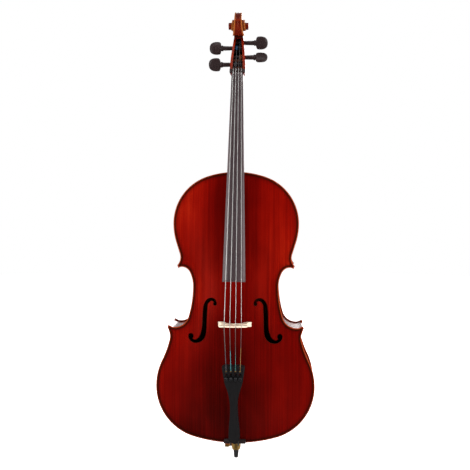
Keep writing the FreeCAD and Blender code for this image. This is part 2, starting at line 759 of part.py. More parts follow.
def rib(zone):
    """One treble rib: the ring between the rib lines, cut to its zone."""
    y = -RIB_PLANE
    ring = inset_outline(y, size("overhang")).cut(inset_outline(y, RIB_INSET))
    piece = ring.common(polygon_face(zone, front_plane(y)))
    return piece.extrude(V(0, size("rib_height"), 0))


def block(plan):
    """A block filling its plan between the ribs, as deep as the ribs are high."""
    y = -RIB_PLANE
    face = inset_outline(y, RIB_INSET).common(polygon_face(plan, front_plane(y)))
    return face.extrude(V(0, size("rib_height"), 0))


def linings(side):
    """The three treble linings along one plate, butted against the blocks."""
    y = side * RIB_PLANE
    ring = inset_outline(y, RIB_INSET).cut(inset_outline(y, RIB_INSET + size("lining_width")))
    ring = half_region(y, ring)
    for plan in block_plans():
        ring = ring.cut(polygon_face(plan, front_plane(y)))
    return ring.extrude(V(0, -side * size("lining_height"), 0))


def plug_cone():
    """The tapered seat of the endpin plug, through the lower ribs and the end block."""
    return Part.makeCone(size("plug_radius"), size("plug_end_radius"), size("plug_length"),
                         V(0, 0, BODY_BASE + size("overhang")), V(0, 0, 1))


def bass_bar():
    """The bass bar: a curved strip fitted to the top's inner arch."""
    middle = BODY_BASE + size("body_length") / 2
    reach = size("bar_length") / 2
    ends = -(RIB_PLANE + 9)
    deep = -(PLATE_CROWN - size("plate_thickness") - size("bar_height"))
    far = -(PLATE_CROWN + 20)
    place = side_plane(size("bar_reach") - size("bar_width") / 2)
    curve = Part.Arc(place(ends, middle - reach), place(deep, middle), place(ends, middle + reach))
    sides = [((ends, middle + reach), (far, middle + reach)),
             ((far, middle + reach), (far, middle - reach)),
             ((far, middle - reach), (ends, middle - reach))]
    edges = [Part.LineSegment(place(*start), place(*end)).toShape() for start, end in sides]
    strip = closed_face([curve.toShape()] + edges).extrude(V(size("bar_width"), 0, 0))
    return mirrored(strip.common(inner_arch(TOP_SIDE, size("top_arch_rise"))))


def sound_post():
    """The sound post, wedged between the plates a little below the bridge's treble foot."""
    z = BRIDGE_LINE - size("post_drop")
    rod = Part.makeCylinder(size("post_radius"), 4 * RIB_PLANE, V(size("post_reach"), -2 * RIB_PLANE, z),
                            V(0, 1, 0))
    return (rod.common(inner_arch(TOP_SIDE, size("top_arch_rise")))
            .common(inner_arch(BACK_SIDE, size("back_arch_rise"))))


def button():
    """The treble half of the back's button, the tab that the heel is glued to."""
    half = size("heel_width") / 2
    middle = BODY_TOP + 6
    y = RIB_PLANE
    runs = [((0, BODY_TOP - 12), None, (half, BODY_TOP - 12)), ((half, BODY_TOP - 12), None, (half, middle)),
            ((half, middle), 90, (0, middle + half)), ((0, middle + half), None, (0, BODY_TOP - 12))]
    face = closed_face([run_edge(run, front_plane(y)) for run in runs])
    return face.extrude(V(0, size("edge_thickness"), 0))


# ---------------------------------------------------------------------------
# Bridge
# ---------------------------------------------------------------------------
def bridge_outline(place):
    """Half of the bridge seen along the strings, from the crown down to the arch between its feet."""
    high = size("bridge_height")
    crown = size("bridge_crown_radius")
    reach = size("bridge_crown_span") / 2
    shoulder = reach - 6.5
    drop = crown - math.sqrt(crown ** 2 - shoulder ** 2)
    fall = -math.degrees(math.asin(shoulder / crown))
    foot = size("bridge_foot_span") / 2
    nodes = [((0, high), 0, None), ((shoulder, high - drop), fall, 1.0), ((reach, high - 20), -90, 0.9),
             ((reach - 9.5, high - 40), -90, 1.0), ((reach - 2.0, high - 59), -80, 1.0),
             ((foot - 11.0, 13), -90, 1.0), ((foot, 4.0), -12, 1.0), ((foot, -6), 180, None),
             ((foot - 14.5, -6), 90, None), ((foot - 14.5, 4.5), 150, None),
             ((foot - 21.5, 13), 93, 1.0), ((0, 33), 180, 1.0)]
    runs = chain(nodes)
    return [run_edge(run, place) for run in runs]


def hole_slot(place, start, end, radius, depth):
    """A round-ended slot through the bridge between two points."""
    first, last = place(*start), place(*end)
    along = (last - first).normalize()
    side = V(0, 0, 1).cross(along) * radius
    middle = Part.Face(Part.makePolygon([first + side, last + side, last - side, first - side, first + side]))
    solids = [middle.extrude(V(0, 0, depth))]
    return solids + [Part.makeCylinder(radius, depth, point, V(0, 0, 1)) for point in (first, last)]


def bridge():
    """The bridge: two legs, kidneys, a heart and a blade that thins and leans to the crown."""
    thick = size("bridge_foot_thickness")
    crown = CROWN_LINE - size("bridge_crown_thickness") / 2
    deep = thick + size("bridge_lean") + 4
    back = BRIDGE_LINE - size("bridge_crown_thickness") / 2
    place = lambda x, height: V(x, -(PLATE_CROWN + height), back - 1)
    edges = bridge_outline(place)
    blank = closed_face(edges + [mirrored(edge) for edge in edges]).extrude(V(0, 0, deep))
    wedge = polygon_face([(-(PLATE_CROWN - 8), back), (-(PLATE_CROWN + 4), back), (-(BRIDGE_TOP + 1), crown),
                          (-(BRIDGE_TOP + 1), crown + size("bridge_crown_thickness")),
                          (-(PLATE_CROWN + 8), back + thick), (-(PLATE_CROWN - 8), back + thick)],
                         side_plane(-60)).extrude(V(120, 0, 0))
    high = size("bridge_height")
    cuts = []
    for side in (-1, 1):
        cuts += hole_slot(place, (side * 18, high - 27), (side * 36, high - 40), 3.6, deep)
        cuts += hole_slot(place, (side * 17, high - 29), (side * 20, high - 37), 3.6, deep)
        cuts += hole_slot(place, (side * 3.2, high - 30), (0, high - 40), 2.6, deep)
    tops = under_arch(TOP_SIDE, EDGE_PLANE, size("top_arch_rise"), 0)
    return blank.common(wedge).cut(cuts + [tops, mirrored(tops)])


# ---------------------------------------------------------------------------
# Tailpiece and its fine tuners: one group, tilted along the strings' afterlength
# ---------------------------------------------------------------------------
TAIL_FOOT = V(0, -(EDGE_PLANE + 22), BODY_BASE + 5)
TAIL_TILT = math.degrees(math.atan2(BRIDGE_TOP + TAIL_FOOT.y, CROWN_LINE - TAIL_FOOT.z))
TAIL_PLACE = placed(TAIL_FOOT, V(1, 0, 0), TAIL_TILT)
GUT_DEPTH = 6.2
BALL_DEPTH = -0.75
STRINGS = {"c": 0.95, "g": 0.8, "d": 0.65, "a": 0.55}
TUNERS = {"c": -1.5, "g": -0.5, "d": 0.5, "a": 1.5}


def tail_reach(name):
    """A string's reach from the centre line at the tailpiece."""
    return TUNERS[name] * size("tail_spread") / 3


def tail_outline(inset):
    """The tailpiece from the front, from its foot up to its head, as a face."""
    foot = size("tailpiece_foot_width") / 2
    waist = size("tailpiece_waist_width") / 2
    head = size("tailpiece_head_width") / 2
    length = size("tailpiece_length")
    nodes = [((0, 0), 0, None), ((foot, 20), 90, 1.0), ((waist, length * 0.48), 90, 1.1),
             ((head - 5.5, length - 44), 82, 3.5), ((head, length - 5), 86, 1.0),
             ((head - 3, length - 1.5), 160, 1.0), ((0, length), 180, 1.0)]
    place = lambda x, z: V(x, 0, z)
    edges = [run_edge(run, place) for run in chain(nodes)]
    face = closed_face(edges + [mirrored(edge) for edge in edges])
    return face.makeOffset2D(-inset) if inset else face


def tail_arch(depth):
    """The rounded front of the tailpiece, as the cylinder behind it."""
    bow = size("tailpiece_bow")
    return Part.makeCylinder(bow - depth, size("tailpiece_length") + 20, V(0, bow, -10), V(0, 0, 1))


def tailpiece():
    """The tailpiece shell in its own frame: front towards -Y, foot at the origin."""
    deep = size("tailpiece_thickness")
    wall = size("tailpiece_wall")
    length = size("tailpiece_length")
    wide = size("lever_width") + 2 * size("lever_clearance")
    blank = tail_outline(0).extrude(V(0, deep, 0)).common(tail_arch(0))
    hollow = [(-50, length - 112), (50, length - 112), (50, length), (-50, length)]
    room = tail_outline(wall).common(polygon_face(hollow, front_plane(0)))
    shell = blank.cut(room.extrude(V(0, deep + 1, 0)).common(tail_arch(wall)))
    cuts = []
    for name in TUNERS:
        x = tail_reach(name)
        screw = V(x, -2, length - size("tuning_screw_inset"))
        cuts += [Part.makeBox(wide, deep + 4, 22, V(x - wide / 2, -2, length - 27)),
                 Part.makeCylinder(2.3, deep + 4, screw, V(0, 1, 0))]
    axle = V(-50, size("axle_depth"), length - size("axle_inset"))
    return shell.cut(cuts + [Part.makeCylinder(size("axle_radius"), 100, axle, V(1, 0, 0))])


def tuner_lever(name):
    """A fine tuner's lever: a forked hook for the string's ball, a pivot eye and a long arm."""
    length = size("tailpiece_length")
    wide = size("lever_width")
    x = tail_reach(name) - wide / 2
    hook = length - size("hook_inset")
    eye = length - size("axle_inset")
    pivot = size("axle_depth")
    arm_end = length - size("tuning_screw_inset") - 4
    seat = BALL_DEPTH + size("ball_radius")
    corners = [(-1.6, hook + 3), (-1.6, hook - 2), (seat, hook - 2), (seat, eye + 1), (3.0, eye - 3.5),
               (9.5, eye - 3.5), (9.5, arm_end), (12.0, arm_end), (12.0, eye - 1), (9.0, eye + 3.5),
               (4.0, hook + 3)]
    arm = polygon_face(corners, side_plane(x)).extrude(V(wide, 0, 0))
    bore = Part.makeCylinder(size("axle_radius") + 0.05, 10, V(x - 3, pivot, eye), V(1, 0, 0))
    gap = 2 * (STRINGS[name] + size("string_clearance"))
    notch = Part.makeBox(gap, 8, 12, V(x + (wide - gap) / 2, -4.2, hook - 6))
    return arm.cut([bore, notch])


# ---------------------------------------------------------------------------
# Strings and the tail gut: round cords on straight runs joined by tangent arcs
# ---------------------------------------------------------------------------
CROSSING_RADIUS = 5.0


def rounded_path(points, radii):
    """A wire through points whose inner corners are rounded to the given radii."""
    edges = []
    start = points[0]
    for index in range(1, len(points) - 1):
        corner = points[index]
        back = (points[index - 1] - corner).normalize()
        ahead = (points[index + 1] - corner).normalize()
        half = back.getAngle(ahead) / 2
        reach = radii[index - 1] / math.tan(half)
        middle = (back + ahead).normalize()
        centre = corner + middle * (radii[index - 1] / math.sin(half))
        first, last = corner + back * reach, corner + ahead * reach
        edges.append(Part.LineSegment(start, first).toShape())
        edges.append(Part.Arc(first, centre - middle * radii[index - 1], last).toShape())
        start = last
    edges.append(Part.LineSegment(start, points[-1]).toShape())
    return Part.Wire(edges)


def tube(path, radius):
    """A round cord along a path."""
    edge = path.Edges[0]
    start = edge.valueAt(edge.FirstParameter)
    heading = edge.tangentAt(edge.FirstParameter)
    disc = Part.Face(Part.Wire([Part.makeCircle(radius, start, heading)]))
    return path.makePipe(disc)


def nut_point(name):
    """Where a string's middle crosses the nut."""
    x = TUNERS[name] * size("nut_spread") / 3
    radius = size("board_radius")
    half = size("nut_width") / 2
    height = size("nut_side") + math.sqrt(radius ** 2 - x ** 2) - math.sqrt(radius ** 2 - half ** 2)
    place = BOARD_START + UP_NECK * (size("nut_length") - 0.5)
    return place + OUT_OF_NECK * (height + STRINGS[name] + 0.25) + V(x, 0, 0)


def bridge_point(name):
    """Where a string's middle crosses the bridge."""
    x = TUNERS[name] * size("bridge_spread") / 3
    crown = size("bridge_crown_radius")
    height = BRIDGE_TOP - (crown - math.sqrt(crown ** 2 - x ** 2)) + STRINGS[name] + 0.15
    return V(x, -height, CROWN_LINE)


def ball_point(name):
    """Where a string's ball end sits in its lever's hook."""
    height = size("tailpiece_length") - size("hook_inset") - 2 - size("ball_radius")
    return TAIL_PLACE.multVec(V(tail_reach(name), BALL_DEPTH, height))


def winding_reach(name):
    """Reach of a string's winding from the centre line, on its peg head's side."""
    height, side, _ = PEGS[name]
    return side * (7.5 - 0.03 * height)


def peg_point(name):
    """Where a string's straight run meets its winding."""
    centre = peg_place(name)
    start = nut_point(name)
    run = centre - start
    distance = math.hypot(run.y, run.z)
    clear = size("winding_radius") + STRINGS[name] + 0.35
    turn = math.asin(clear / distance)
    heading = math.atan2(run.z, run.y) + turn
    length = math.sqrt(distance ** 2 - clear ** 2)
    return V(winding_reach(name), start.y + length * math.cos(heading), start.z + length * math.sin(heading))


def string(name):
    """One string from its winding over the nut and the bridge to its ball."""
    ball = ball_point(name)
    crossing = bridge_point(name)
    end = ball + (crossing - ball).normalize() * (size("ball_radius") + size("string_end_gap"))
    points = [peg_point(name), nut_point(name), crossing, end]
    return tube(rounded_path(points, [CROSSING_RADIUS, CROSSING_RADIUS]), STRINGS[name])


def string_ball(name):
    """A string's ball end: a small brass drum across its lever's hook."""
    start = ball_point(name) - V(size("ball_length") / 2, 0, 0)
    return Part.makeCylinder(size("ball_radius"), size("ball_length"), start, V(1, 0, 0))


def tail_gut():
    """The gut: from the tailpiece's foot down over the saddle and round the plug's neck."""
    radius = size("gut_radius")
    reach = size("plug_neck_radius") + radius + 0.1
    top = TAIL_PLACE.multVec(V(reach, GUT_DEPTH, 16))
    low_z = BODY_BASE - 3.6
    turn_y = -(EDGE_PLANE + size("saddle_rise") + radius + 1.4)
    neck_z = BODY_BASE + 1.5
    bend = 5.0
    corner = V(reach, turn_y, low_z)
    side = V(reach, 0, neck_z)
    into = rounded_path([top, corner, side], [bend])
    around = Part.Arc(side, V(0, reach, neck_z + 0.3), V(-reach, 0, neck_z)).toShape()
    back = rounded_path([V(-reach, 0, neck_z), V(-reach, turn_y, low_z), V(-reach, top.y, top.z)], [bend])
    return tube(Part.Wire(into.Edges + [around] + back.Edges), radius)


# ---------------------------------------------------------------------------
# Sub-parts made as bodies, primitives and lofts bound to the sheet
# ---------------------------------------------------------------------------
def board_sketch(body, height, width, side, radius="board_radius"):
    """A fingerboard section: flat below, upright sides, a rounded top."""
    sketch = plane_sketch(body, "XY_Plane", height)
    half = value_of(width) / 2
    low = value_of(side)
    bow = value_of(radius)
    rise = math.sqrt(bow ** 2 - half ** 2)
    spread = math.asin(half / bow)
    corners = [V(-half, low, 0), V(-half, 0, 0), V(half, 0, 0), V(half, low, 0)]
    for start, end in zip(corners, corners[1:]):
        sketch.addGeometry(Part.LineSegment(start, end))
    circle = Part.Circle(V(0, low - rise, 0), V(0, 0, 1), bow)
    sketch.addGeometry(Part.ArcOfCircle(circle, math.pi / 2 - spread, math.pi / 2 + spread))
    for pair in ((0, 2, 1, 1), (1, 2, 2, 1), (2, 2, 3, 1), (3, 2, 0, 1)):
        sketch.addConstraint(Sketcher.Constraint("Coincident", *pair))
    for line, x, y in ((0, "-", side), (1, "-", "0"), (2, "", "0")):
        fix_point(sketch, line, 1, "X", x + "( " + width + " ) / 2")
        fix_point(sketch, line, 1, "Y", y)
    fix_point(sketch, 2, 2, "X", "( " + width + " ) / 2")
    fix_point(sketch, 2, 2, "Y", side)
    bend = sketch.addConstraint(Sketcher.Constraint("Radius", 3, bow))
    sketch.setExpression("Constraints[%d]" % bend, with_sheet(radius))
    return sketch


def fingerboard():
    """The ebony board, widening from the nut, its underside hollowed past the neck."""
    body = doc.addObject("PartDesign::Body", "Fingerboard")
    near = board_sketch(body, "0", "board_nut_width", "board_side")
    far = board_sketch(body, "board_length", "board_end_width", "board_side + 0.8")
    loft = body.newObject("PartDesign::AdditiveLoft", "BoardLoft")
    loft.Profile = near
    loft.Sections = [far]
    loft.Ruled = True
    doc.recompute()
    start = "neck_length + 28"
    shallow = board_hollow_sketch(body, start, "board_nut_width * 0.5")
    deep = board_hollow_sketch(body, "board_length", "board_end_width - 10")
    cut = body.newObject("PartDesign::SubtractiveLoft", "BoardHollow")
    cut.Profile = shallow
    cut.Sections = [deep]
    cut.Ruled = True
    body.Placement = FreeCAD.Placement(BOARD_START, BOARD_TURN)
    return keep(body, "fingerboard")


def board_hollow_sketch(body, height, width):
    """A shallow rounded section of the hollow under the fingerboard."""
    sketch = plane_sketch(body, "XY_Plane", height)
    half = value_of(width) / 2
    bow = value_of("board_radius") - 3
    rise = math.sqrt(bow ** 2 - half ** 2)
    spread = math.asin(half / bow)
    sketch.addGeometry(Part.LineSegment(V(-half, 0, 0), V(half, 0, 0)))
    circle = Part.Circle(V(0, -rise, 0), V(0, 0, 1), bow)
    sketch.addGeometry(Part.ArcOfCircle(circle, math.pi / 2 - spread, math.pi / 2 + spread))
    sketch.addConstraint(Sketcher.Constraint("Coincident", 0, 2, 1, 1))
    sketch.addConstraint(Sketcher.Constraint("Coincident", 1, 2, 0, 1))
    fix_point(sketch, 0, 1, "X", "-( " + width + " ) / 2")
    fix_point(sketch, 0, 2, "X", "( " + width + " ) / 2")
    fix_point(sketch, 0, 1, "Y", "0")
    fix_point(sketch, 0, 2, "Y", "0")
    bend = sketch.addConstraint(Sketcher.Constraint("Radius", 1, bow))
    sketch.setExpression("Constraints[%d]" % bend, with_sheet("board_radius - 3"))
    return sketch


def nut():
    """The ebony nut at the top of the fingerboard."""
    body = doc.addObject("PartDesign::Body", "Nut")
    sketch = board_sketch(body, None, "nut_width", "nut_side")
    pad = body.newObject("PartDesign::Pad", "NutPad")
    pad.Profile = sketch
    bind(pad, Length="nut_length")
    body.Placement = FreeCAD.Placement(BOARD_START + UP_NECK * size("nut_length"), BOARD_TURN)
    return keep(body, "nut")


def saddle():
    """The ebony saddle let into the top's lower edge, under the tail gut."""
    face = "-( rib_height / 2 + edge_thickness"
    corners = [("-( rib_height / 2 )", "0"), (face + " + saddle_rise - 3 )", "0"),
               (face + " + saddle_rise )", "3"), (face + " + saddle_rise )", "saddle_length - 4"),
               (face + " + 2 )", "saddle_length"), ("-( rib_height / 2 )", "saddle_length")]
    body = padded("Saddle", corners, "saddle_width", placed(V(0, 0, 0)), "YZ_Plane")
    bind(body, Placement__Base__x="-( saddle_width / 2 )", Placement__Base__z="body_base")
    return keep(body, "saddle")


HEAD_OVALS = ((0.02, 0.16, 0.2), (0.14, 0.38, 0.34), (0.46, 0.5, 0.48), (0.78, 0.43, 0.5), (1.0, 0.19, 0.44))


def peg_head(name):
    """A peg's thumb piece: a loft through ovals; each is (place along, half width, half thickness)."""
    ovals = []
    for index, (along, half_width, half_thickness) in enumerate(HEAD_OVALS):
        oval = doc.addObject("Part::Ellipse", "Oval_%s_%d" % (name, index))
        bind(oval, MajorRadius="peg_head_width * %s" % half_width,
             MinorRadius="peg_head_thickness * %s" % half_thickness,
             Placement__Base__z="peg_head_length * %s" % along)
        ovals.append(oval)
    loft = doc.addObject("Part::Loft", "PegHead_" + name)
    loft.Sections = ovals
    loft.Solid = True
    return loft


def peg(name):
    """One tuning peg: thumb piece, collar ring and tapered shaft."""
    end = shaft_end(name)
    corners = [("0", "peg_head_length - 3"), ("6.5", "peg_head_length - 3"), ("8.0", "peg_head_length + 1.5"),
               ("8.4", "peg_head_length + 5"), ("7.4", "peg_head_length + 6.2"),
               (shaft_radius("shaft_start"), "shaft_start"),
               (shaft_radius("( " + end + " - 1 )"), end + " - 1"),
               (shaft_radius("( " + end + " )") + " - 1", end), ("0", end)]
    shaft = turned("PegShaft_" + name, corners, placed(V(0, 0, 0)))
    whole = doc.addObject("Part::MultiFuse", "Peg_" + name)
    whole.Shapes = [peg_head(name), shaft]
    whole.Placement = peg_frame(name)
    return keep(whole, "peg_" + name)


def peg_frame(name):
    """A peg's placement: origin at its head's outer end, +Z towards the pegbox."""
    _, side, turn = PEGS[name]
    centre = peg_place(name)
    across = FreeCAD.Rotation(V(0, 1, 0), -side * 90)
    return FreeCAD.Placement(V(side * size("peg_reach"), centre.y, centre.z),
                             across.multiply(FreeCAD.Rotation(V(0, 0, 1), turn)))


def winding(name):
    """The turns of string wound on a peg, as one sleeve."""
    middle = "peg_reach - %.2f" % abs(winding_reach(name))
    low = "( " + middle + " - winding_width / 2 )"
    high = "( " + middle + " + winding_width / 2 )"
    corners = [(shaft_radius(low), low), ("winding_radius - 0.6", low), ("winding_radius", low + " + 0.6"),
               ("winding_radius", high + " - 0.6"), ("winding_radius - 0.6", high), (shaft_radius(high), high)]
    return keep(turned("Winding_" + name, corners, peg_frame(name)), "winding_" + name)


def tuner_screw(name):
    """A fine tuner's screw: a thin shank and a knurled head, in the tailpiece's frame."""
    corners = [("0", "0"), ("1.4", "0"), ("1.8", "0.6"), ("1.8", "10"), ("2.6", "10.4"), ("4.2", "11.2"),
               ("4.6", "12.4"), ("4.6", "17.4"), ("3.8", "18.4"), ("0", "18.4")]
    local = placed(V(tail_reach(name), 9.0, size("tailpiece_length") - size("tuning_screw_inset")),
                   V(1, 0, 0), 90)
    return keep(turned("TunerScrew_" + name, corners, TAIL_PLACE.multiply(local)), "tuner_screw_" + name)


def tuner_axle():
    """The pin across the tailpiece that the four levers turn on."""
    axle = doc.addObject("Part::Cylinder", "Axle")
    bind(axle, Radius="axle_radius", Height="tailpiece_head_width - 8")
    local = placed(V(-(size("tailpiece_head_width") - 8) / 2, size("axle_depth"),
                     size("tailpiece_length") - size("axle_inset")), V(0, 1, 0), 90)
    axle.Placement = TAIL_PLACE.multiply(local)
    return keep(axle, "tuner_axle")


def endpin():
    """The endpin's five pieces, all turned about the instrument's own axis or the screw's."""
    here = placed(V(0, 0, 0))
    bore = "rod_radius + rod_clearance"
    socket = "8"
    tip = turned("RubberTip", [("0", "0"), ("tip_foot_radius", "0"), ("tip_foot_radius + 1.2", "1.2"),
                               ("tip_radius - 0.6", "tip_height - 4"), ("tip_radius", "tip_height - 3"),
                               ("tip_radius", "tip_height"), ("rod_radius", "tip_height"),
                               ("rod_radius", socket), ("0", socket)], here)
    keep(tip, "endpin_rubber_tip")
    rod = turned("Rod", [("0", socket), ("rod_radius", socket), ("rod_radius", "rod_length + 6"),
                         ("rod_radius - 2", "rod_length + 8"), ("0", "rod_length + 8")], here)
    keep(rod, "endpin_rod")
    low = "tip_height + 0.4"
    high = "tip_height + 0.4 + ferrule_length"
    ferrule = turned("FerruleTurn", [(bore, low), ("ferrule_radius - 2.0", low),
                                     ("ferrule_radius - 1.0", low + " + 1"), ("ferrule_radius - 1.0", low + " + 5"),
                                     ("ferrule_radius", low + " + 6"), ("ferrule_radius", high + " - 5"),
                                     ("ferrule_radius - 1.2", high + " - 3.8"), ("ferrule_radius - 1.2", high),
                                     (bore, high)], here)
    hole = doc.addObject("Part::Cylinder", "ScrewHole")
    bind(hole, Radius="screw_radius + 0.3", Height="ferrule_radius * 2",
         Placement__Base__z="screw_height")
    hole.Placement = placed(V(0, 0, size("screw_height")), V(0, 1, 0), -90)
    bind(hole, Placement__Base__z="screw_height")
    drilled = doc.addObject("Part::Cut", "Ferrule")
    drilled.Base = ferrule
    drilled.Tool = hole
    keep(drilled, "endpin_ferrule")
    screw = turned("ThumbScrew", [("0", "0"), ("screw_radius - 0.6", "0"), ("screw_radius", "0.8"),
                                  ("screw_radius", "13.2"), ("knob_radius - 1.6", "13.8"),
                                  ("knob_radius - 1.6", "15.4"), ("knob_radius", "16.4"),
                                  ("knob_radius", "13.8 + knob_length - 1"),
                                  ("knob_radius - 1", "13.8 + knob_length"), ("0", "13.8 + knob_length")],
                   placed(V(-size("rod_radius") - 0.35, 0, size("screw_height")), V(0, 1, 0), -90))
    keep(screw, "endpin_thumb_screw")
    neck_high = "body_base + overhang"
    plug = turned("Plug", [(bore, high), ("plug_neck_radius", high), ("plug_neck_radius", neck_high),
                           ("plug_radius", neck_high), ("plug_end_radius", neck_high + " + plug_length"),
                           (bore, neck_high + " + plug_length")], here)
    keep(plug, "endpin_plug")


# ---------------------------------------------------------------------------
# The whole cello
# ---------------------------------------------------------------------------
def bass_and_treble(label, shape):
    """The two mirrored sub-parts of a treble side shape."""
    feature(label + "_treble", shape)
    feature(label + "_bass", mirrored(shape))


def notch(solid, cutters):
    """A solid with its neighbours' seats cut out, as one clean solid."""
    return solid.cut(cutters).removeSplitter()


def body_of_cello(neck):
    """Plates, ribs, blocks, linings, bar and post."""
    saddle_seat = Part.makeBox(size("saddle_width"), 40, size("saddle_length") + 10,
                               V(-size("saddle_width") / 2, -EDGE_PLANE - 20, BODY_BASE - 10))
    top = half_plate(TOP_SIDE, size("top_arch_rise"))
    top = notch(top, [neck, saddle_seat] + sound_hole(-PLATE_CROWN - 20, 0))
    back = half_plate(BACK_SIDE, size("back_arch_rise")).fuse(button()).removeSplitter()
    bass_and_treble("top_plate", top)
    bass_and_treble("back_plate", back)
    for zone, plan in rib_zones().items():
        bass_and_treble("rib_" + zone, rib(plan).cut([neck, plug_cone()]))
    lower, upper = corner_cuts()
    bass_and_treble("corner_block_lower", block(lower))
    bass_and_treble("corner_block_upper", block(upper))
    feature("end_block", block(end_cut()).cut(plug_cone()))
    feature("neck_block", block(neck_cut()).cut(neck))
    for side, label in ((TOP_SIDE, "top_linings"), (BACK_SIDE, "back_linings")):
        strips = linings(side)
        feature(label, Part.makeCompound([strips, mirrored(strips)]))
    feature("bass_bar", bass_bar())
    feature("sound_post", sound_post())


def fittings():
    """Everything that is fixed or strung on the body."""
    fingerboard()
    nut()
    saddle()
    feature("bridge", bridge())
    gut = tail_gut()
    shell = tailpiece()
    shell.Placement = TAIL_PLACE
    feature("tail_gut", gut)
    feature("tailpiece", shell.cut(gut))
    tuner_axle()
    for name in TUNERS:
        lever = tuner_lever(name)
        lever.Placement = TAIL_PLACE
        feature("tuner_lever_" + name, lever)
        tuner_screw(name)
        feature("string_" + name, string(name))
        feature("string_ball_" + name, string_ball(name))
        peg(name)
        winding(name)
    endpin()


def check(items):
    """Stop on any failed object, or any sub-part that is empty or not valid."""
    doc.recompute()
    broken = [item.Name for item in doc.Objects if "Invalid" in item.State or "Error" in item.State]
    for item in items:
        if item.Shape.isNull() or not item.Shape.isValid() or not item.Shape.Solids:
            broken.append(item.Label)
    if broken:
        raise RuntimeError("failed: " + ", ".join(broken))


maple_neck = neck_piece()
feature("neck", maple_neck)
body_of_cello(maple_neck)
fittings()
check(PARTS)
os.makedirs("parts", exist_ok=True)
for item in PARTS:
    item.Shape.exportStep("parts/%s.step" % item.Label)
print("%d sub-parts written" % len(PARTS))
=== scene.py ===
# %% [markdown]
# # Dressing a cello
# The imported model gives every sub-part its place and its body. This lesson loads it as a fixed
# frame, then lays carved plates, turned pegs, strings and finishes over it. Lengths in the helpers
# are millimetres, as on a maker's drawing, and meshes are written in metres.

# %% load the frame
import bpy
import bmesh
import numpy as np
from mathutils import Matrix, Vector
from mathutils.geometry import delaunay_2d_cdt


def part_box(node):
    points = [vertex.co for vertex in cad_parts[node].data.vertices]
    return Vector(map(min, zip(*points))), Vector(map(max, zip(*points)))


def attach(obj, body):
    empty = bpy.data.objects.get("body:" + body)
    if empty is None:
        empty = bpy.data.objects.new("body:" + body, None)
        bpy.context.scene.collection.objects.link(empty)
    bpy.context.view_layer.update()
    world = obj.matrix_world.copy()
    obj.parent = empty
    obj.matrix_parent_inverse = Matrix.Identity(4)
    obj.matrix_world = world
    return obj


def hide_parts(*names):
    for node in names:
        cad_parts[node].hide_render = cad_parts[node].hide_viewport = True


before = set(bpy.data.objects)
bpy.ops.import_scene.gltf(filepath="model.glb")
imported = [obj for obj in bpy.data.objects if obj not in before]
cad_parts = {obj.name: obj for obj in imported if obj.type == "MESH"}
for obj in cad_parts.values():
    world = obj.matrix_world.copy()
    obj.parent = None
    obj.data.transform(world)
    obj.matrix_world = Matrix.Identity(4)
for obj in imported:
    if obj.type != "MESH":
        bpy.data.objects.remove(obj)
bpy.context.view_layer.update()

# %% [markdown]
# A finish is a set of shader nodes. Short helpers add a node, set it and wire it, so that each
# finish below reads as a recipe: where a pattern comes from, and which colours it mixes.

# %% node helpers
def finish(name, **constants):
    """A new material, its node tree and its shader, with the constants set on the shader."""
    if name in bpy.data.materials:
        bpy.data.materials[name].name = "plain_" + name
    material = bpy.data.materials.new(name)
    material.use_nodes = True
    tree = material.node_tree
    shader = tree.nodes["Principled BSDF"]
    for socket, value in constants.items():
        shader.inputs[socket.replace("_", " ")].default_value = value
    return material, tree, shader


def node(tree, kind, inputs=None, **settings):
    """Add a node; inputs maps a socket to a number, a colour or another node's output."""
    made = tree.nodes.new("ShaderNode" + kind)
    for key, value in settings.items():
        setattr(made, key, value)
    for socket, value in (inputs or {}).items():
        if isinstance(value, bpy.types.NodeSocket):
            tree.links.new(value, made.inputs[socket])
        else:
            made.inputs[socket].default_value = value
    return made


def sums(tree, operation, first, second=0.0, third=0.0, clamp=False):
    """One step of arithmetic on outputs or numbers."""
    made = node(tree, "Math", {0: first, 1: second, 2: third}, operation=operation, use_clamp=clamp)
    return made.outputs[0]


def ramp(tree, factor, stops):
    """A colour read off a list of (place, colour) stops."""
    made = node(tree, "ValToRGB", {"Fac": factor})
    scale = made.color_ramp
    while len(scale.elements) < len(stops):
        scale.elements.new(0.5)
    for element, (place, colour) in zip(scale.elements, stops):
        element.position = place
        element.color = (*colour, 1.0)
    return made.outputs["Color"]


def blended(tree, factor, first, second):
    """Two colours mixed by a factor."""
    return node(tree, "Mix", {0: factor, 6: first, 7: second}, data_type="RGBA").outputs[2]


def place(tree, scale=(1, 1, 1)):
    """The piece's own coordinates in metres, stretched by scale."""
    own = node(tree, "TexCoord").outputs["Object"]
    return node(tree, "Mapping", {"Vector": own, "Scale": scale}).outputs["Vector"]


def axes(tree):
    """The piece's own coordinates in metres, as the outputs "X", "Y" and "Z"."""
    return node(tree, "SeparateXYZ", {"Vector": place(tree)}).outputs


def carried(tree, name):
    """A value that the piece's mesh carries at every point under this name."""
    return node(tree, "Attribute", attribute_name=name).outputs["Fac"]


def noise(tree, scale, detail):
    """Soft noise, so many grains to the metre along each axis."""
    made = node(tree, "TexNoise", {"Vector": place(tree, scale), "Scale": 1.0, "Detail": detail})
    return made.outputs["Fac"]


def over_range(tree, value, start, end, low=0.0, high=1.0):
    """From low to high while a value goes from start to end, and level beyond."""
    return node(tree, "MapRange", {"Value": value, "From Min": start, "From Max": end,
                                   "To Min": low, "To Max": high}).outputs["Result"]


def bumps(tree, shader, height, strength, distance):
    """Raise the surface a little where height is bright."""
    made = node(tree, "Bump", {"Height": height, "Strength": strength, "Distance": distance})
    tree.links.new(made.outputs["Normal"], shader.inputs["Normal"])


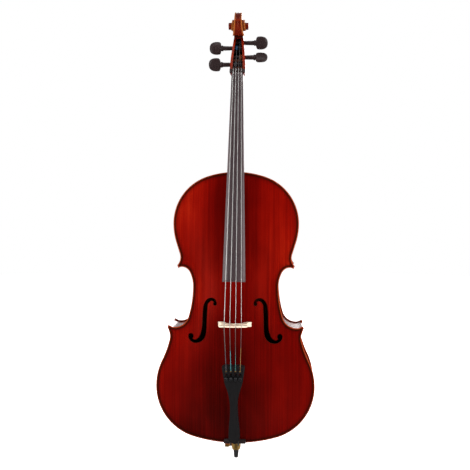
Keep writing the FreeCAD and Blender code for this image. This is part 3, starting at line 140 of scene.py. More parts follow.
# %% [markdown]
# ## The top's varnish
# A top is spruce: straight, narrow grain lines that run up the plate. Its oil varnish is red and
# thicker in the middle, thinner and more orange in the flanks, and darkest along the channel where
# dirt and polish settle. Painted light from the side soft boxes also brightens the flanks, and
# painted shade darkens the plate towards its foot. Stretched noise makes the grain, and the
# distance from the edge, which the plate's mesh carries in millimetres, places the purfling and the
# bright rim, which is partly worn and partly a painted highlight.

# %% varnished spruce
EDGE_BAND = 20.0


def varnish_colour(tree, streak):
    """Deep red, orange where varnish is thin; painted light brightens the flanks, painted shade darkens the
    foot.
    """
    # painted light: flank and height stand partly for the side soft boxes' light, partly for thin varnish
    flank = sums(tree, "MULTIPLY", sums(tree, "ABSOLUTE", axes(tree)["X"]), 1.25)
    height = sums(tree, "MINIMUM", sums(tree, "MULTIPLY_ADD", axes(tree)["Z"], 0.85, -0.07), 0.35)
    band = sums(tree, "MULTIPLY_ADD", noise(tree, (260, 20, 3), 2.0), 0.36, -0.18)
    cloud = sums(tree, "MULTIPLY_ADD", noise(tree, (7, 7, 4), 3.0), 0.8, -0.42)
    thin_and_lit = sums(tree, "ADD", sums(tree, "ADD", sums(tree, "ADD", flank, height), band), cloud)
    mixed = sums(tree, "MULTIPLY_ADD", streak, 0.42, sums(tree, "ADD", thin_and_lit, -0.21), clamp=True)
    return ramp(tree, mixed, ((0.0, (0.028, 0.0004, 0.0003)), (0.35, (0.095, 0.0007, 0.0004)),
                              (0.62, (0.185, 0.0025, 0.0008)), (1.0, (0.37, 0.018, 0.004))))


def edge_shade(tree, colour):
    """A bright rim, worn and partly painted highlight; purfling; a dark channel fading into the plate.

    Stops are shares of EDGE_BAND millimetres in from the edge.
    """
    near = sums(tree, "DIVIDE", carried(tree, "edge"), EDGE_BAND, clamp=True)
    # painted highlight: the bright first stops stand partly for light on the rounded rim, partly for wear
    rim = ramp(tree, near, ((0.0, (0.26, 0.035, 0.006)), (0.10, (0.30, 0.035, 0.006)),
                            (0.14, (0.03, 0.003, 0.001)), (0.19, (0.002, 0.001, 0.001)),
                            (0.205, (0.03, 0.010, 0.003)), (0.235, (0.03, 0.010, 0.003)),
                            (0.25, (0.002, 0.001, 0.001)), (0.30, (0.005, 0.0008, 0.0006))))
    cover = ramp(tree, near, ((0.0, (1, 1, 1)), (0.26, (0.95, 0.95, 0.95)), (0.36, (0.6, 0.6, 0.6)),
                              (0.52, (0.2, 0.2, 0.2)), (0.85, (0, 0, 0))))
    return blended(tree, cover, colour, rim)


def shaded_inside(tree, colour, pores):
    """The colour outside, and bare wood painted dark as painted shade where the mesh is marked bare."""
    # painted shade: bare inside wood, painted near black because the body's inside lies in shade
    wood = ramp(tree, pores, ((0.3, (0.030, 0.018, 0.010)), (0.7, (0.045, 0.028, 0.016))))
    return blended(tree, sums(tree, "GREATER_THAN", carried(tree, "bare"), 0.3), colour, wood)


spruce, tree, shader = finish("varnished_spruce", Roughness=0.34, Specular_IOR_Level=0.3,
                              Specular_Tint=(1.0, 0.06, 0.02, 1.0))
grain = noise(tree, (620, 4, 3), 3.0)
rings = node(tree, "TexWave", {"Vector": place(tree), "Scale": 190.0, "Distortion": 1.2,
                               "Detail": 1.0, "Detail Scale": 0.02}, bands_direction="X")
streak = sums(tree, "MULTIPLY_ADD", rings.outputs["Fac"], 0.25, sums(tree, "MULTIPLY", grain, 0.9))
colour = edge_shade(tree, varnish_colour(tree, streak))
tree.links.new(shaded_inside(tree, colour, grain), shader.inputs["Base Color"])
bumps(tree, shader, streak, 0.25, 0.0003)
print("finish", spruce.name)

# %% [markdown]
# ## Maple, varnished and bare
# Back, ribs, neck and scroll are maple cut on the quarter, whose fibres wave, so the wood shines in
# bands across the grain, called flame. On a back of two matched halves the bands fall away from
# the middle on both sides, so they follow z - 0.22 |x|. The handle of the neck is only oiled, so
# the varnish fades out between the heel and the pegbox. The scroll is darker; its edges are lighter
# where the varnish wears off and partly as painted highlight, and its hollows carry painted shade.

# %% varnished maple
# the slot's front, back and side: each plane is slope times height plus start, in metres
SLOT_PLANES = (0.4452, -0.5286), (0.367, -0.4008), (-0.0714, 0.09654)
SLOT_FOOT, SLOT_TOP = 1.1066, 1.2056
# heights between which a shade of the neck comes in
OILED_LOW, OILED_HIGH, SCROLL_DARKENING = (0.858, 0.885), (1.088, 1.066), (1.195, 1.212)


def slot_shade(tree):
    """One inside the pegbox, which is stained black, and nought outside it."""
    own = axes(tree)
    front, back, side = (sums(tree, "MULTIPLY_ADD", own["Z"], *plane) for plane in SLOT_PLANES)
    aside = sums(tree, "ABSOLUTE", own["X"])
    inside = 1.0
    for test, value, limit in (("GREATER_THAN", own["Y"], front), ("LESS_THAN", own["Y"], back),
                               ("LESS_THAN", aside, side), ("GREATER_THAN", own["Z"], SLOT_FOOT),
                               ("LESS_THAN", own["Z"], SLOT_TOP)):
        inside = sums(tree, "MULTIPLY", inside, sums(tree, test, value, limit))
    return inside


def neck_shades(tree, colour, figure):
    """An oiled handle, a black slot, a darker scroll, worn edges partly painted highlight, painted shade in
    hollows.
    """
    height = axes(tree)["Z"]
    bare = sums(tree, "MULTIPLY", over_range(tree, height, *OILED_LOW), over_range(tree, height, *OILED_HIGH))
    oiled = ramp(tree, figure, ((0.0, (0.38, 0.2, 0.085)), (1.0, (0.62, 0.40, 0.19))))
    colour = blended(tree, bare, colour, oiled)
    for cover, shade in ((slot_shade(tree), (0.004, 0.003, 0.003)),
                         # the scroll turns darker from these heights up
                         (over_range(tree, height, *SCROLL_DARKENING, 0.0, 0.6), (0.05, 0.004, 0.0015)),
                         # lighter edges: worn varnish, and partly a painted highlight
                         (carried(tree, "worn"), (0.50, 0.17, 0.035)),
                         # painted shade in the scroll's hollows
                         (carried(tree, "recess"), (0.012, 0.002, 0.001))):
        colour = blended(tree, cover, colour, (*shade, 1.0))
    return colour


def make_maple(name, flames, handle=False, edged=False, gloss=0.03):
    """Red varnish over flamed maple; edged for the back's rim and inside, handle for the neck."""
    material, tree, shader = finish(name, Roughness=0.3, Specular_IOR_Level=0.3, Coat_Weight=gloss,
                                    Specular_Tint=(1.0, 0.3, 0.14, 1.0), Coat_Roughness=0.1)
    own = axes(tree)
    reach = sums(tree, "ABSOLUTE", own["X"])
    rising = sums(tree, "MULTIPLY_ADD", reach, -0.22, own["Z"])
    matched = node(tree, "CombineXYZ", {"X": reach, "Y": own["Y"], "Z": rising}).outputs["Vector"]
    stretched = node(tree, "Mapping", {"Vector": matched, "Scale": flames}).outputs["Vector"]
    flame = node(tree, "TexNoise", {"Vector": stretched, "Scale": 1.0, "Detail": 1.5, "Distortion": 0.4})
    pores = noise(tree, (900, 300, 60), 2.0)
    figure = sums(tree, "MULTIPLY_ADD", pores, 0.35,
                  sums(tree, "MULTIPLY_ADD", flame.outputs["Fac"], 1.5, -0.45))
    mixed = sums(tree, "MULTIPLY_ADD", noise(tree, (6, 6, 4), 2.0), 0.5,
                 sums(tree, "ADD", figure, -0.28), clamp=True)
    colour = ramp(tree, mixed, ((0.0, (0.045, 0.0012, 0.0007)), (0.4, (0.12, 0.004, 0.0012)),
                                (0.7, (0.22, 0.013, 0.002)), (1.0, (0.34, 0.04, 0.006))))
    if edged:
        colour = shaded_inside(tree, edge_shade(tree, colour), pores)
    if handle:
        colour = neck_shades(tree, colour, mixed)
    tree.links.new(colour, shader.inputs["Base Color"])
    bumps(tree, shader, figure, 0.12, 0.0003)
    return material


back_maple = make_maple("varnished_maple_back", (9, 9, 110), edged=True)
rib_maple = make_maple("varnished_maple", (90, 6, 90), gloss=1.0)
neck_maple = make_maple("varnished_maple_neck", (14, 14, 120), handle=True)
print("finishes", back_maple.name, rib_maple.name, neck_maple.name)

# %% [markdown]
# ## The plain woods, and what is black
# The bridge is unvarnished maple whose cut face shows short dark flecks. Blocks, linings, bar and
# post are bare spruce. Fingerboard, nut, saddle and pegs are oiled ebony with fine dark pores, and
# the tailpiece is a satin moulding. Each of them is one noise pattern between two close colours.

# %% bare woods and blacks
def make_plain(name, scale, dark, light, roughness, bump, **constants):
    """Two close colours mixed by stretched noise, and the same noise as a slight bump."""
    material, tree, shader = finish(name, Roughness=roughness, **constants)
    speckle = noise(tree, scale, 3.0)
    tree.links.new(ramp(tree, speckle, ((0.36, dark), (0.64, light))), shader.inputs["Base Color"])
    bumps(tree, shader, speckle, bump, 0.0002)
    return material


bare_spruce = make_plain("bare_spruce", (700, 500, 6), (0.50, 0.34, 0.17), (0.68, 0.51, 0.30), 0.6, 0.2)
bridge_maple = make_plain("bare_maple", (160, 700, 900), (0.74, 0.56, 0.38), (0.96, 0.82, 0.66), 0.42, 0.2)
ebony = make_plain("ebony", (900, 900, 30), (0.013, 0.007, 0.007), (0.026, 0.014, 0.014), 0.38, 0.3,
                   Specular_IOR_Level=0.22)
board_ebony = make_plain("ebony_board", (700, 700, 14), (0.034, 0.024, 0.026), (0.060, 0.043, 0.046),
                         0.34, 0.3, Specular_IOR_Level=0.4, Specular_Tint=(1.0, 0.82, 0.84, 1.0))
composite = make_plain("black_composite", (500, 500, 500), (0.0065, 0.006, 0.0065), (0.0085, 0.0075, 0.008),
                       0.36, 0.03, Specular_IOR_Level=0.2)
rubber = make_plain("rubber", (900, 900, 900), (0.008, 0.008, 0.009), (0.016, 0.016, 0.017), 0.6, 0.6)
tail_cord = make_plain("nylon_gut", (900, 900, 200), (0.018, 0.017, 0.016), (0.035, 0.033, 0.03), 0.4, 0.3)
black_metal = make_plain("black_metal", (300, 300, 300), (0.018, 0.018, 0.02), (0.035, 0.035, 0.038),
                         0.3, 0.1, Metallic=0.7)
# painted shade: the string balls sit in the tailpiece's slots, so their brass is painted dark
shaded_brass = make_plain("brass_ball", (160, 160, 160), (0.20, 0.11, 0.04), (0.34, 0.20, 0.08), 0.5, 0.1,
                        Metallic=1.0)
brass = make_plain("brass", (160, 160, 160), (0.86, 0.48, 0.12), (1.0, 0.66, 0.22), 0.36, 0.1, Metallic=1.0)
steel = make_plain("steel", (60, 60, 2200), (0.42, 0.42, 0.43), (0.62, 0.62, 0.64), 0.24, 0.15, Metallic=1.0)
print("finishes", ebony.name, composite.name, brass.name)

# %% [markdown]
# ## Strings
# Each string is flat wound with metal, and wrapped in coloured silk at both ends. Height alone
# tells where the silk starts, so one recipe takes the two heights and the silk's colours.

# %% string finishes
NUT_TOP = 1.1068


def make_string(name, metal, tail_silk, tail_height, peg_silk, peg_height):
    """Wound metal between two heights, silk below the first and above the second."""
    material, tree, shader = finish("string_" + name, Roughness=0.3)
    height = axes(tree)["Z"]
    turns = node(tree, "TexWave", {"Vector": place(tree), "Scale": 500.0}, bands_direction="Z")
    wound = blended(tree, turns.outputs["Fac"], tuple(v * 0.7 for v in metal) + (1,), (*metal, 1))
    tail = sums(tree, "LESS_THAN", height, tail_height)
    peg = sums(tree, "GREATER_THAN", height, NUT_TOP)
    dyed = sums(tree, "GREATER_THAN", height, peg_height)
    colour = blended(tree, tail, wound, (*tail_silk, 1))
    colour = blended(tree, peg, colour, (0.035, 0.032, 0.034, 1))
    colour = blended(tree, dyed, colour, (*peg_silk, 1))
    tree.links.new(colour, shader.inputs["Base Color"])
    metallic = sums(tree, "SUBTRACT", 1.0, sums(tree, "ADD", tail, peg, clamp=True))
    tree.links.new(metallic, shader.inputs["Metallic"])
    bumps(tree, shader, turns.outputs["Fac"], 0.3, 0.0002)
    return material


string_finish = {
    "c": make_string("c", (0.62, 0.62, 0.60), (0.055, 0.055, 0.065), 0.335, (0.05, 0.05, 0.055), 1.1175),
    "g": make_string("g", (0.66, 0.66, 0.64), (0.045, 0.20, 0.22), 0.336, (0.006, 0.05, 0.12), 1.1690),
    "d": make_string("d", (0.68, 0.68, 0.66), (0.05, 0.18, 0.17), 0.326, (0.010, 0.014, 0.02), 1.1850),
    "a": make_string("a", (0.70, 0.70, 0.68), (0.26, 0.15, 0.05), 0.345, (0.17, 0.05, 0.015), 1.1395),
}
print("finishes for strings", sorted(string_finish))

# %% [markdown]
# ## Meshes from arrays
# A shape here is an array of points. Rings of points along a line make every turned or drawn-out
# piece, and a middle point at each end closes it. Faces are index arrays.

# %% mesh helpers
MM = 0.001


def grid_faces(rows, columns):
    """Quads between neighbours on a grid whose last column joins its first."""
    index = np.arange(rows * columns).reshape(rows, columns)
    index = np.hstack([index, index[:, :1]])
    corners = [index[:-1, :-1], index[1:, :-1], index[1:, 1:], index[:-1, 1:]]
    return np.stack(corners, axis=-1).reshape(-1, 4)


def closed_skin(rings):
    """Points and faces of a skin over rings, with a middle point closing each end."""
    rows, columns = rings.shape[:2]
    points = np.vstack([rings.reshape(-1, 3), rings[0].mean(axis=0), rings[-1].mean(axis=0)])
    first = np.arange(columns)
    last = first + (rows - 1) * columns
    low = np.stack([first, np.roll(first, -1), np.full(columns, rows * columns)], axis=1)
    high = np.stack([np.roll(last, -1), last, np.full(columns, rows * columns + 1)], axis=1)
    return points, [grid_faces(rows, columns), low, high]


def spread(x, plane):
    """Points from x and from depth and height, which come as one number y + iz."""
    x, plane = np.broadcast_arrays(x, plane)
    return np.stack([x, plane.real, plane.imag], axis=-1)


def turned(places, radii, centre):
    """A skin turned about the line along x through centre, which is y + iz."""
    angle = np.linspace(0, 2 * np.pi, 48, endpoint=False)
    circles = centre + np.array(radii)[:, None] * np.exp(1j * angle)
    return closed_skin(spread(np.array(places)[:, None], circles))


def joined(*skins):
    """Several skins as one set of points and faces."""
    points, faces, start = [], [], 0
    for skin_points, skin_faces in skins:
        points.append(skin_points)
        faces += [block + start for block in skin_faces]
        start += len(skin_points)
    return np.vstack(points), faces


def box_mm(name):
    """The lowest and the highest corner of a frame node, in millimetres."""
    return np.array(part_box(name)) / MM


def in_scene(name, data):
    """A new object of this data, linked into the scene at the origin."""
    made = bpy.data.objects.new(name, data)
    bpy.context.scene.collection.objects.link(made)
    return made


def placed(name, mesh, material, body, replaced):
    """A smooth piece of one material that rides a body in the place of frame nodes."""
    mesh.polygons.foreach_set("use_smooth", np.ones(len(mesh.polygons), bool))
    mesh.materials.clear()
    mesh.materials.append(material)
    piece = in_scene(name, mesh)
    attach(piece, body)
    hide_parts(*replaced)
    return piece


def new_piece(name, skin, material, body, slot, replaced, sharp=35.0, **carries):
    """A piece from points in millimetres, facing outwards; its mesh carries the named values."""
    points, blocks = skin
    mesh = bpy.data.meshes.new(name)
    mesh.from_pydata((points * MM).tolist(), [], [face for block in blocks for face in block.tolist()])
    for key, values in carries.items():
        mesh.attributes.new(key, "FLOAT", "POINT").data.foreach_set("value", np.asarray(values, np.float32))
    work = bmesh.new()
    work.from_mesh(mesh)
    bmesh.ops.recalc_face_normals(work, faces=work.faces)
    work.to_mesh(mesh)
    work.free()
    placed(name, mesh, material, body, replaced)
    mesh.set_sharp_from_angle(angle=np.radians(sharp))


# %% [markdown]
# ## The outline
# A maker draws the outline as arcs that meet without a corner. Between two points with known
# headings there is a pair of arcs that share a tangent: if the first tangent is k times the
# second, its length solves one quadratic. In complex numbers, x + iz, an arc from p to q that
# leaves at angle phi to its chord is p + (q - p) e^(i phi (u - 1)) sin(phi u) / sin(phi).

# %% arcs
def two_arcs(start, start_heading, end, end_heading, ratio):
    """Two tangent arcs as (start, unit heading, end); t solves |chord - t (k a + b)| = t (k + 1)."""
    first, last = np.exp(1j * np.radians([start_heading, end_heading]))
    chord = end - start
    dot = (first * np.conj(last)).real
    a = ratio ** 2 + 1 + 2 * ratio * dot - (ratio + 1) ** 2
    b = -2 * (ratio * (chord * np.conj(first)).real + (chord * np.conj(last)).real)
    c = abs(chord) ** 2
    roots = [-c / b] if abs(a) < 1e-9 else np.roots([a, b, c]).real
    tangent = min(root for root in roots if root > 0)
    leave = start + ratio * tangent * first
    arrive = end - tangent * last
    middle = leave + (arrive - leave) * ratio / (ratio + 1)
    return [(start, first, middle), (middle, (arrive - leave) / abs(arrive - leave), end)]


def trace(nodes, spacing):
    """A dense line through nodes (point, heading, ratio); ratio None is a straight run."""
    line = []
    point, heading = nodes[0][:2]
    for next_point, next_heading, ratio in nodes[1:]:
        runs = [(point, next_point - point, next_point)]
        if ratio is not None:
            runs = two_arcs(point, heading, next_point, next_heading, ratio)
        for start, toward, end in runs:
            steps = max(3, int(abs(end - start) / spacing))
            share = np.arange(steps) / steps
            phi = np.angle((end - start) / toward)
            if abs(phi) >= 1e-6:
                share = np.exp(1j * phi * (share - 1)) * np.sin(phi * share) / np.sin(phi)
            line.append(start + (end - start) * share)
        point, heading = next_point, next_heading
    return np.concatenate(line + [[point]])


OUTLINE = [(0, 0, None), (221.3 + 158j, 90, 0.53), (184.5 + 285j, 104, 1.2), (190.8 + 320.5j, 62, 1.0),
           (187.6 + 327.3j, 212, None), (170.3 + 321j, 180, 1.0), (119.2 + 435j, 90, 0.68),
           (151.2 + 489j, 0, 1.38), (160.4 + 485.5j, -41, 1.0), (164 + 493.5j, 134, None),
           (156.8 + 526j, 72, 1.0), (175.1 + 611j, 90, 0.68), (755j, 180, 2.4)]
BASE = 61.0
half = trace(OUTLINE, 2.6)
outline = np.concatenate([half[:-1], -np.conj(half[::-1])[:-1]]) + 1j * BASE
print("outline points", len(outline), "width", round(np.ptp(outline.real), 1))

# %% [markdown]
# Two questions are asked of every plan point: how far is it from a closed line, and is it inside.
# Both are answered for whole arrays: the nearest point of each short side, and an odd or even
# count of crossings.

# %% distances
def from_line(points, loop):
    """Distance to a closed line, positive inside it."""
    run = np.roll(loop, -1) - loop
    high, low = np.roll(loop, -1).imag, loop.imag
    result = []
    for share in np.array_split(points, max(1, len(points) // 3000)):
        apart = share[:, None] - loop
        along = np.clip((apart * np.conj(run)).real / np.abs(run) ** 2, 0, 1)
        gap = np.abs(apart - along * run).min(axis=1)
        level = share.imag[:, None]
        crosses = (low > level) != (high > level)
        with np.errstate(divide="ignore", invalid="ignore"):
            meet = loop.real + run.real * (level - low) / (high - low)
        odd = (crosses & (share.real[:, None] < meet)).sum(axis=1) % 2 == 1
        result.append(np.where(odd, gap, -gap))
    return np.concatenate(result)


RISE, SINK, RIM = 21.0, 21.0 / 9, 2.1


def arch(plan, shrink):
    """Height of the carved arch: (rise + sink) 10^-(|x / w(z)|^3 + |along|^7) - sink."""
    x, z = plan.real, plan.imag - BASE
    wide = (51.5 + 161.0 * np.exp(-((z - 145.7) / 213.0) ** 2)
            + 114.4 * np.exp(-((z - 625.3) / 164.2) ** 2) - shrink)
    along = np.abs(z - 377.5) / (365.0 - shrink)
    return (RISE + SINK) * 10 ** -(np.abs(x / wide) ** 3 + along ** 7) - SINK


def rounded_rim(gap):
    """How far a surface falls away at the plates' rounded edge."""
    return RIM - np.sqrt(RIM ** 2 - np.clip(RIM - gap, 0, RIM) ** 2)


# %% [markdown]
# ## Sound holes
# Each sound hole is a long S between two round eyes. Its two sides are again chains of tangent
# arcs, and the hole is everything inside the stem's line or either eye's circle.

# %% sound holes
UPPER_EYE, LOWER_EYE = 56 + 389j, 123.6 + 298j
UPPER_EYE_REACH, LOWER_EYE_REACH = 5.3, 7.7
MIDDLE = (UPPER_EYE + LOWER_EYE) / 2 - 4.6 - 2.0j
OUTER = [(UPPER_EYE - UPPER_EYE_REACH, 90, None), (UPPER_EYE + 10 + 16.5j, 0, 1.0),
         (MIDDLE + 4.7 + 35j, -84, 1.0), (MIDDLE + 7.0 - 14j, -87, 1.0),
         (LOWER_EYE - 12.5 - 9.5j, -22, 1.2), (LOWER_EYE - 4.5 - 6.2j, 35, 1.0)]
INNER = [(LOWER_EYE + LOWER_EYE_REACH, -90, None), (LOWER_EYE - 13.2 - 19j, 180, 1.0),
         (MIDDLE - 4.7 - 35j, 96, 1.0), (MIDDLE - 7.0 + 14j, 93, 1.0),
         (UPPER_EYE + 10 + 7.6j, 160, 1.2), (UPPER_EYE + 3.2 + 4.2j, 215, 1.0)]


def ring(centre, radius, count):
    """A closed circle of points."""
    return centre + radius * np.exp(2j * np.pi * np.arange(count) / count)


long_s = np.concatenate([trace(OUTER, 2.0), [LOWER_EYE], trace(INNER, 2.0), [UPPER_EYE]])
treble_hole = [long_s + 1j * BASE, ring(UPPER_EYE + 1j * BASE, UPPER_EYE_REACH, 40),
               ring(LOWER_EYE + 1j * BASE, LOWER_EYE_REACH, 48)]
hole_lines = treble_hole + [-np.conj(line) for line in treble_hole]
print("sound hole points", sum(len(line) for line in hole_lines))

# %% [markdown]
# ## Carved plates
# A plate is two carved surfaces over one plan, joined by a wall. Height alone is a function of the
# plan, so a flat triangulation of the plan serves both surfaces. Rings of points just inside the
# edge give the rounded rim and the channel a clean shape, and a triangular grid fills the rest.

# %% plates
def inset_rings(loop, gaps):
    """Points that stand inside a closed line at the given distances."""
    tangent = np.roll(loop, -1) - np.roll(loop, 1)
    inward = 1j * tangent / np.abs(tangent)
    points = np.concatenate([loop + gap * inward for gap in gaps])
    wanted = np.repeat(gaps, len(loop))
    return points[from_line(points, loop) > wanted - 0.12]


def triangulated(lines, loose, wanted):
    """Plan points and the triangles inside the plan; lines stay as edges."""
    flat = np.concatenate(lines + [loose])
    edges, start = [], 0
    for line in lines:
        index = np.arange(len(line)) + start
        edges += np.stack([index, np.roll(index, -1)], axis=1).tolist()
        start += len(line)
    made = delaunay_2d_cdt([Vector((p.real, p.imag)) for p in flat.tolist()], edges, [], 0, 1e-4)
    plan = np.array([point[:] for point in made[0]]) @ np.array([1, 1j])
    faces = np.array(made[2])
    faces = faces[wanted(plan[faces].mean(axis=1))]
    used, faces = np.unique(faces, return_inverse=True)
    return plan[used], faces.reshape(-1, 3)


def plate_skin(plan, faces, front, back):
    """Two surfaces y = front and y = back over the plan, and the walls along its free sides."""
    sides = np.concatenate([faces[:, [0, 1]], faces[:, [1, 2]], faces[:, [2, 0]]])
    key = np.sort(sides, axis=1) @ np.array([len(plan), 1])
    _, where, count = np.unique(key, return_inverse=True, return_counts=True)
    rim = sides[count[where.ravel()] == 1]
    wall = np.stack([rim[:, 1], rim[:, 0], rim[:, 0] + len(plan), rim[:, 1] + len(plan)], axis=1)
    points = np.vstack([spread(plan.real, depth + 1j * plan.imag) for depth in (front, back)])
    return points, [faces, faces[:, ::-1] + len(plan), wall]


def plate_heights(plan, gap):
    """Outer and inner heights above the ribs; arch and channel blend over about a millimetre."""
    channel, arched = -0.9 * np.exp(-((gap - 8.0) / 3.5) ** 2), arch(plan, 0)
    higher = 0.5 * (channel + arched + np.sqrt((channel - arched) ** 2 + 1.0))
    inner = np.maximum(arch(plan, 8.0), 0) + rounded_rim(gap)
    return 4.6 + higher - rounded_rim(gap), inner


def away_from(points, lines, gap):
    """Those points that keep a distance from every line."""
    keep = np.ones(len(points), bool)
    for line in lines:
        keep &= np.abs(from_line(points, line)) > gap
    return points[keep]


def carve(name, plan, faces, gap, outer, inner, side, material, slot, replaced):
    """A plate whose outer surface lies to the front (side -1) or to the back (side 1) of the ribs."""
    depths = [side * (RIB_PLANE + outer), side * (RIB_PLANE + inner)]
    bare = np.concatenate([gap * 0, np.where(gap > EDGE_OVERHANG, 1.0, 0.0)][::-side])
    new_piece(name, plate_skin(plan, faces, *depths[::-side]), material, "body", slot, replaced, 40,
              edge=np.tile(gap, 2), bare=bare)
    print(name, "triangles", 2 * len(faces))


RIB_PLANE, EDGE_OVERHANG, GRID_STEP, GRID_START = 57.5, 4.5, 3.6, 13.2
near_edge = inset_rings(outline, np.array([0.3, 0.9, 1.7, 2.6, 3.7, 4.6, 5.6, 7.2, 9.5, 12.0]))
rows = np.arange(BASE, BASE + 757, GRID_STEP * 0.87)
x, z = np.meshgrid(np.arange(-222, 222, GRID_STEP), rows)
grid = (x + GRID_STEP / 2 * (np.arange(len(rows)) % 2)[:, None] + 1j * z).ravel()
plate_points = np.concatenate([near_edge, grid[from_line(grid, outline) > GRID_START]])
print("plate points", len(plate_points))

# %% [markdown]
# The top has the two sound holes, and a seat for the saddle cut out of its lower edge. The inside
# of the plate is marked bare, because only the outside is varnished; that bare wood is painted dark
# as painted shade inside the body.

# %% top plate
(seat_left, _, _), (seat_right, _, seat_top) = box_mm("saddle")
below = BASE - 4
seat_line = np.array([seat_left + 1j * below, seat_right + 1j * below,
                      seat_right + 1j * seat_top, seat_left + 1j * seat_top])


def in_top(points):
    """Inside the outline, and in neither a sound hole nor the saddle's seat."""
    inside = from_line(points, outline) > 0
    for line in hole_lines:
        inside &= from_line(points, line) < 0
    return inside & ~((np.abs(points.real) < seat_right) & (points.imag < seat_top))


loose = away_from(plate_points, hole_lines + [seat_line], 1.2)
plan, faces = triangulated([outline] + hole_lines + [seat_line], loose, in_top)
gap = np.clip(from_line(plan, outline), 0, None)
carve("top_plate", plan, faces, gap, *plate_heights(plan, gap), -1, spruce, "varnished_spruce",
      ("top_plate_bass", "top_plate_treble"))

# %% [markdown]
# The back has no holes, but its outline grows a half-round button at the top, to which the heel of
# the neck is glued.

# %% back plate
BUTTON_REACH, BUTTON_MIDDLE, BUTTON_FOOT = 14.0, BASE + 761.0, BASE + 741.0
half_turn = np.exp(1j * np.linspace(0, np.pi, 25))
right_side = BUTTON_REACH + 1j * (BUTTON_FOOT + np.array([1, 7]))
button_line = np.concatenate([right_side, 1j * BUTTON_MIDDLE + BUTTON_REACH * half_turn,
                              -np.conj(right_side[::-1])])


def from_back_edge(points):
    """Distance inside the outline or the button, whichever is more."""
    above = np.clip(points.imag - BUTTON_MIDDLE, 0, None)
    button = BUTTON_REACH - np.hypot(points.real, above)
    button = np.where(points.imag > BUTTON_FOOT, button, -9.0)
    return np.maximum(from_line(points, outline), button)


button_reaches = BUTTON_REACH - np.array([0.3, 0.9, 1.7, 2.6, 4.0, 7.0, 10.0])
button_dots = (1j * BUTTON_MIDDLE + button_reaches[:, None] * half_turn).ravel()
loose = np.concatenate([away_from(plate_points, [button_line], 0.6), button_dots])
plan, faces = triangulated([outline, button_line], loose, lambda points: from_back_edge(points) > 0)
gap = np.clip(from_back_edge(plan), 0, None)
outer, inner = plate_heights(plan, gap)
inner = np.where(plan.imag > BUTTON_FOOT + 4, rounded_rim(gap), inner)
carve("back_plate", plan, faces, gap, outer, inner, 1, back_maple, "varnished_maple",
      ("back_plate_bass", "back_plate_treble"))

# %% [markdown]
# ## Pegs
# A peg is turned between centres, and its thumb piece is then flattened and carved to a heart. So
# its cross-section changes from a rounded oblong to a circle: a ring of points whose half width
# and half thickness both depend on the place along the peg.

# %% pegs
ALONG = np.array([0.0, 0.4, 1.5, 3.6, 6.8, 11.0, 16.0, 21.0, 25.5, 29.0, 31.4, 33.0, 34.0, 34.8, 35.4, 36.2,
                  37.6, 39.0, 39.8, 40.4, 42.0, 43.5, -1.0, 0.0])
WIDE = np.array([1.5, 5.5, 9.2, 12.6, 15.4, 17.5, 18.6, 18.9, 18.8, 18.1, 16.6, 13.8, 10.2, 7.4, 7.4, 8.3,
                 8.3, 8.3, 7.6, 6.5, 6.4, 6.4, 5.0, 4.4])
THICK = np.array([0.8, 2.4, 3.8, 5.0, 6.0, 6.5, 6.6, 6.6, 6.8, 7.1, 7.2, 7.0, 6.6, 6.4, 7.6, 8.3,
                  8.3, 8.3, 7.6, 6.5, 6.4, 6.4, 5.0, 4.4])
SQUARE = np.array([2.6] * 9 + [2.5, 2.4, 2.2] + [2.0] * 12)
SHAFT_ROWS = np.arange(len(ALONG)) > len(ALONG) - 3  # the last two rows are given from the shaft's end
PEG_SIDES = {"c": (-1, 24.0), "g": (-1, -6.0), "d": (1, -26.0), "a": (1, 37.0)}
PEG_REACH = 84.0


def peg_centre(name):
    """Where a peg's axis crosses the centre plane, as y + iz."""
    return box_mm("peg_" + name).mean(axis=0)[1:] @ (1, 1j)


def peg_skin(side, turn, centre, length):
    """Rings |u|^n + |v|^n = 1 across the peg, wide by thick, from the head's end to the shaft's."""
    along = ALONG + length * SHAFT_ROWS
    angle = np.linspace(0, 2 * np.pi, 56, endpoint=False)
    wave = np.stack([np.cos(angle), np.sin(angle)])[:, None]
    curve = np.sign(wave) * np.abs(wave) ** (2 / SQUARE)[:, None]
    wide, thick = curve * np.stack([WIDE, THICK])[:, :, None]
    across = centre + (thick + 1j * wide) * np.exp(-1j * np.radians(turn) * side)
    return closed_skin(spread(side * (PEG_REACH - along)[:, None], across))


for name, (side, turn) in PEG_SIDES.items():
    low, high = box_mm("peg_" + name)
    length = PEG_REACH + (high[0] if side < 0 else -low[0])
    new_piece("tuning_peg_" + name, peg_skin(side, turn, peg_centre(name), length), ebony,
              "peg_" + name, "ebony", ("peg_" + name,), sharp=50)
    print("peg", name, "at", peg_centre(name).round(1))

# %% [markdown]
# ## Strings and their windings
# A string is a round wire that runs straight between what it touches, with a small bend at the
# bridge and the nut. On its peg it lies in close turns: a helix one string thick per turn.

# %% tubes
def tube(path, radius, sides=16):
    """Rings of one radius round each point of a path: p + r (cos a f + sin a s)."""
    ahead = np.gradient(path, axis=0)
    ahead /= np.linalg.norm(ahead, axis=1, keepdims=True)
    first = np.cross(ahead, (1.0, 0.0, 0.0))
    first /= np.linalg.norm(first, axis=1, keepdims=True)
    second = np.cross(ahead, first)
    angle = np.linspace(0, 2 * np.pi, sides, endpoint=False)[None, :, None]
    rings = path[:, None] + radius * (np.cos(angle) * first[:, None] + np.sin(angle) * second[:, None])
    return closed_skin(rings)


def eased(points, reach):
    """A path through points whose bends are eased over a short reach each side."""
    path = [points[0]]
    for before, corner, after in zip(points[:-2], points[1:-1], points[2:]):
        start, end = (corner + (other - corner) * reach / np.linalg.norm(other - corner)
                      for other in (before, after))
        share = np.linspace(0, 1, 7)[:, None]
        path += list((1 - share) ** 2 * start + 2 * share * (1 - share) * corner + share ** 2 * end)
    return np.array(path + [points[-1]])


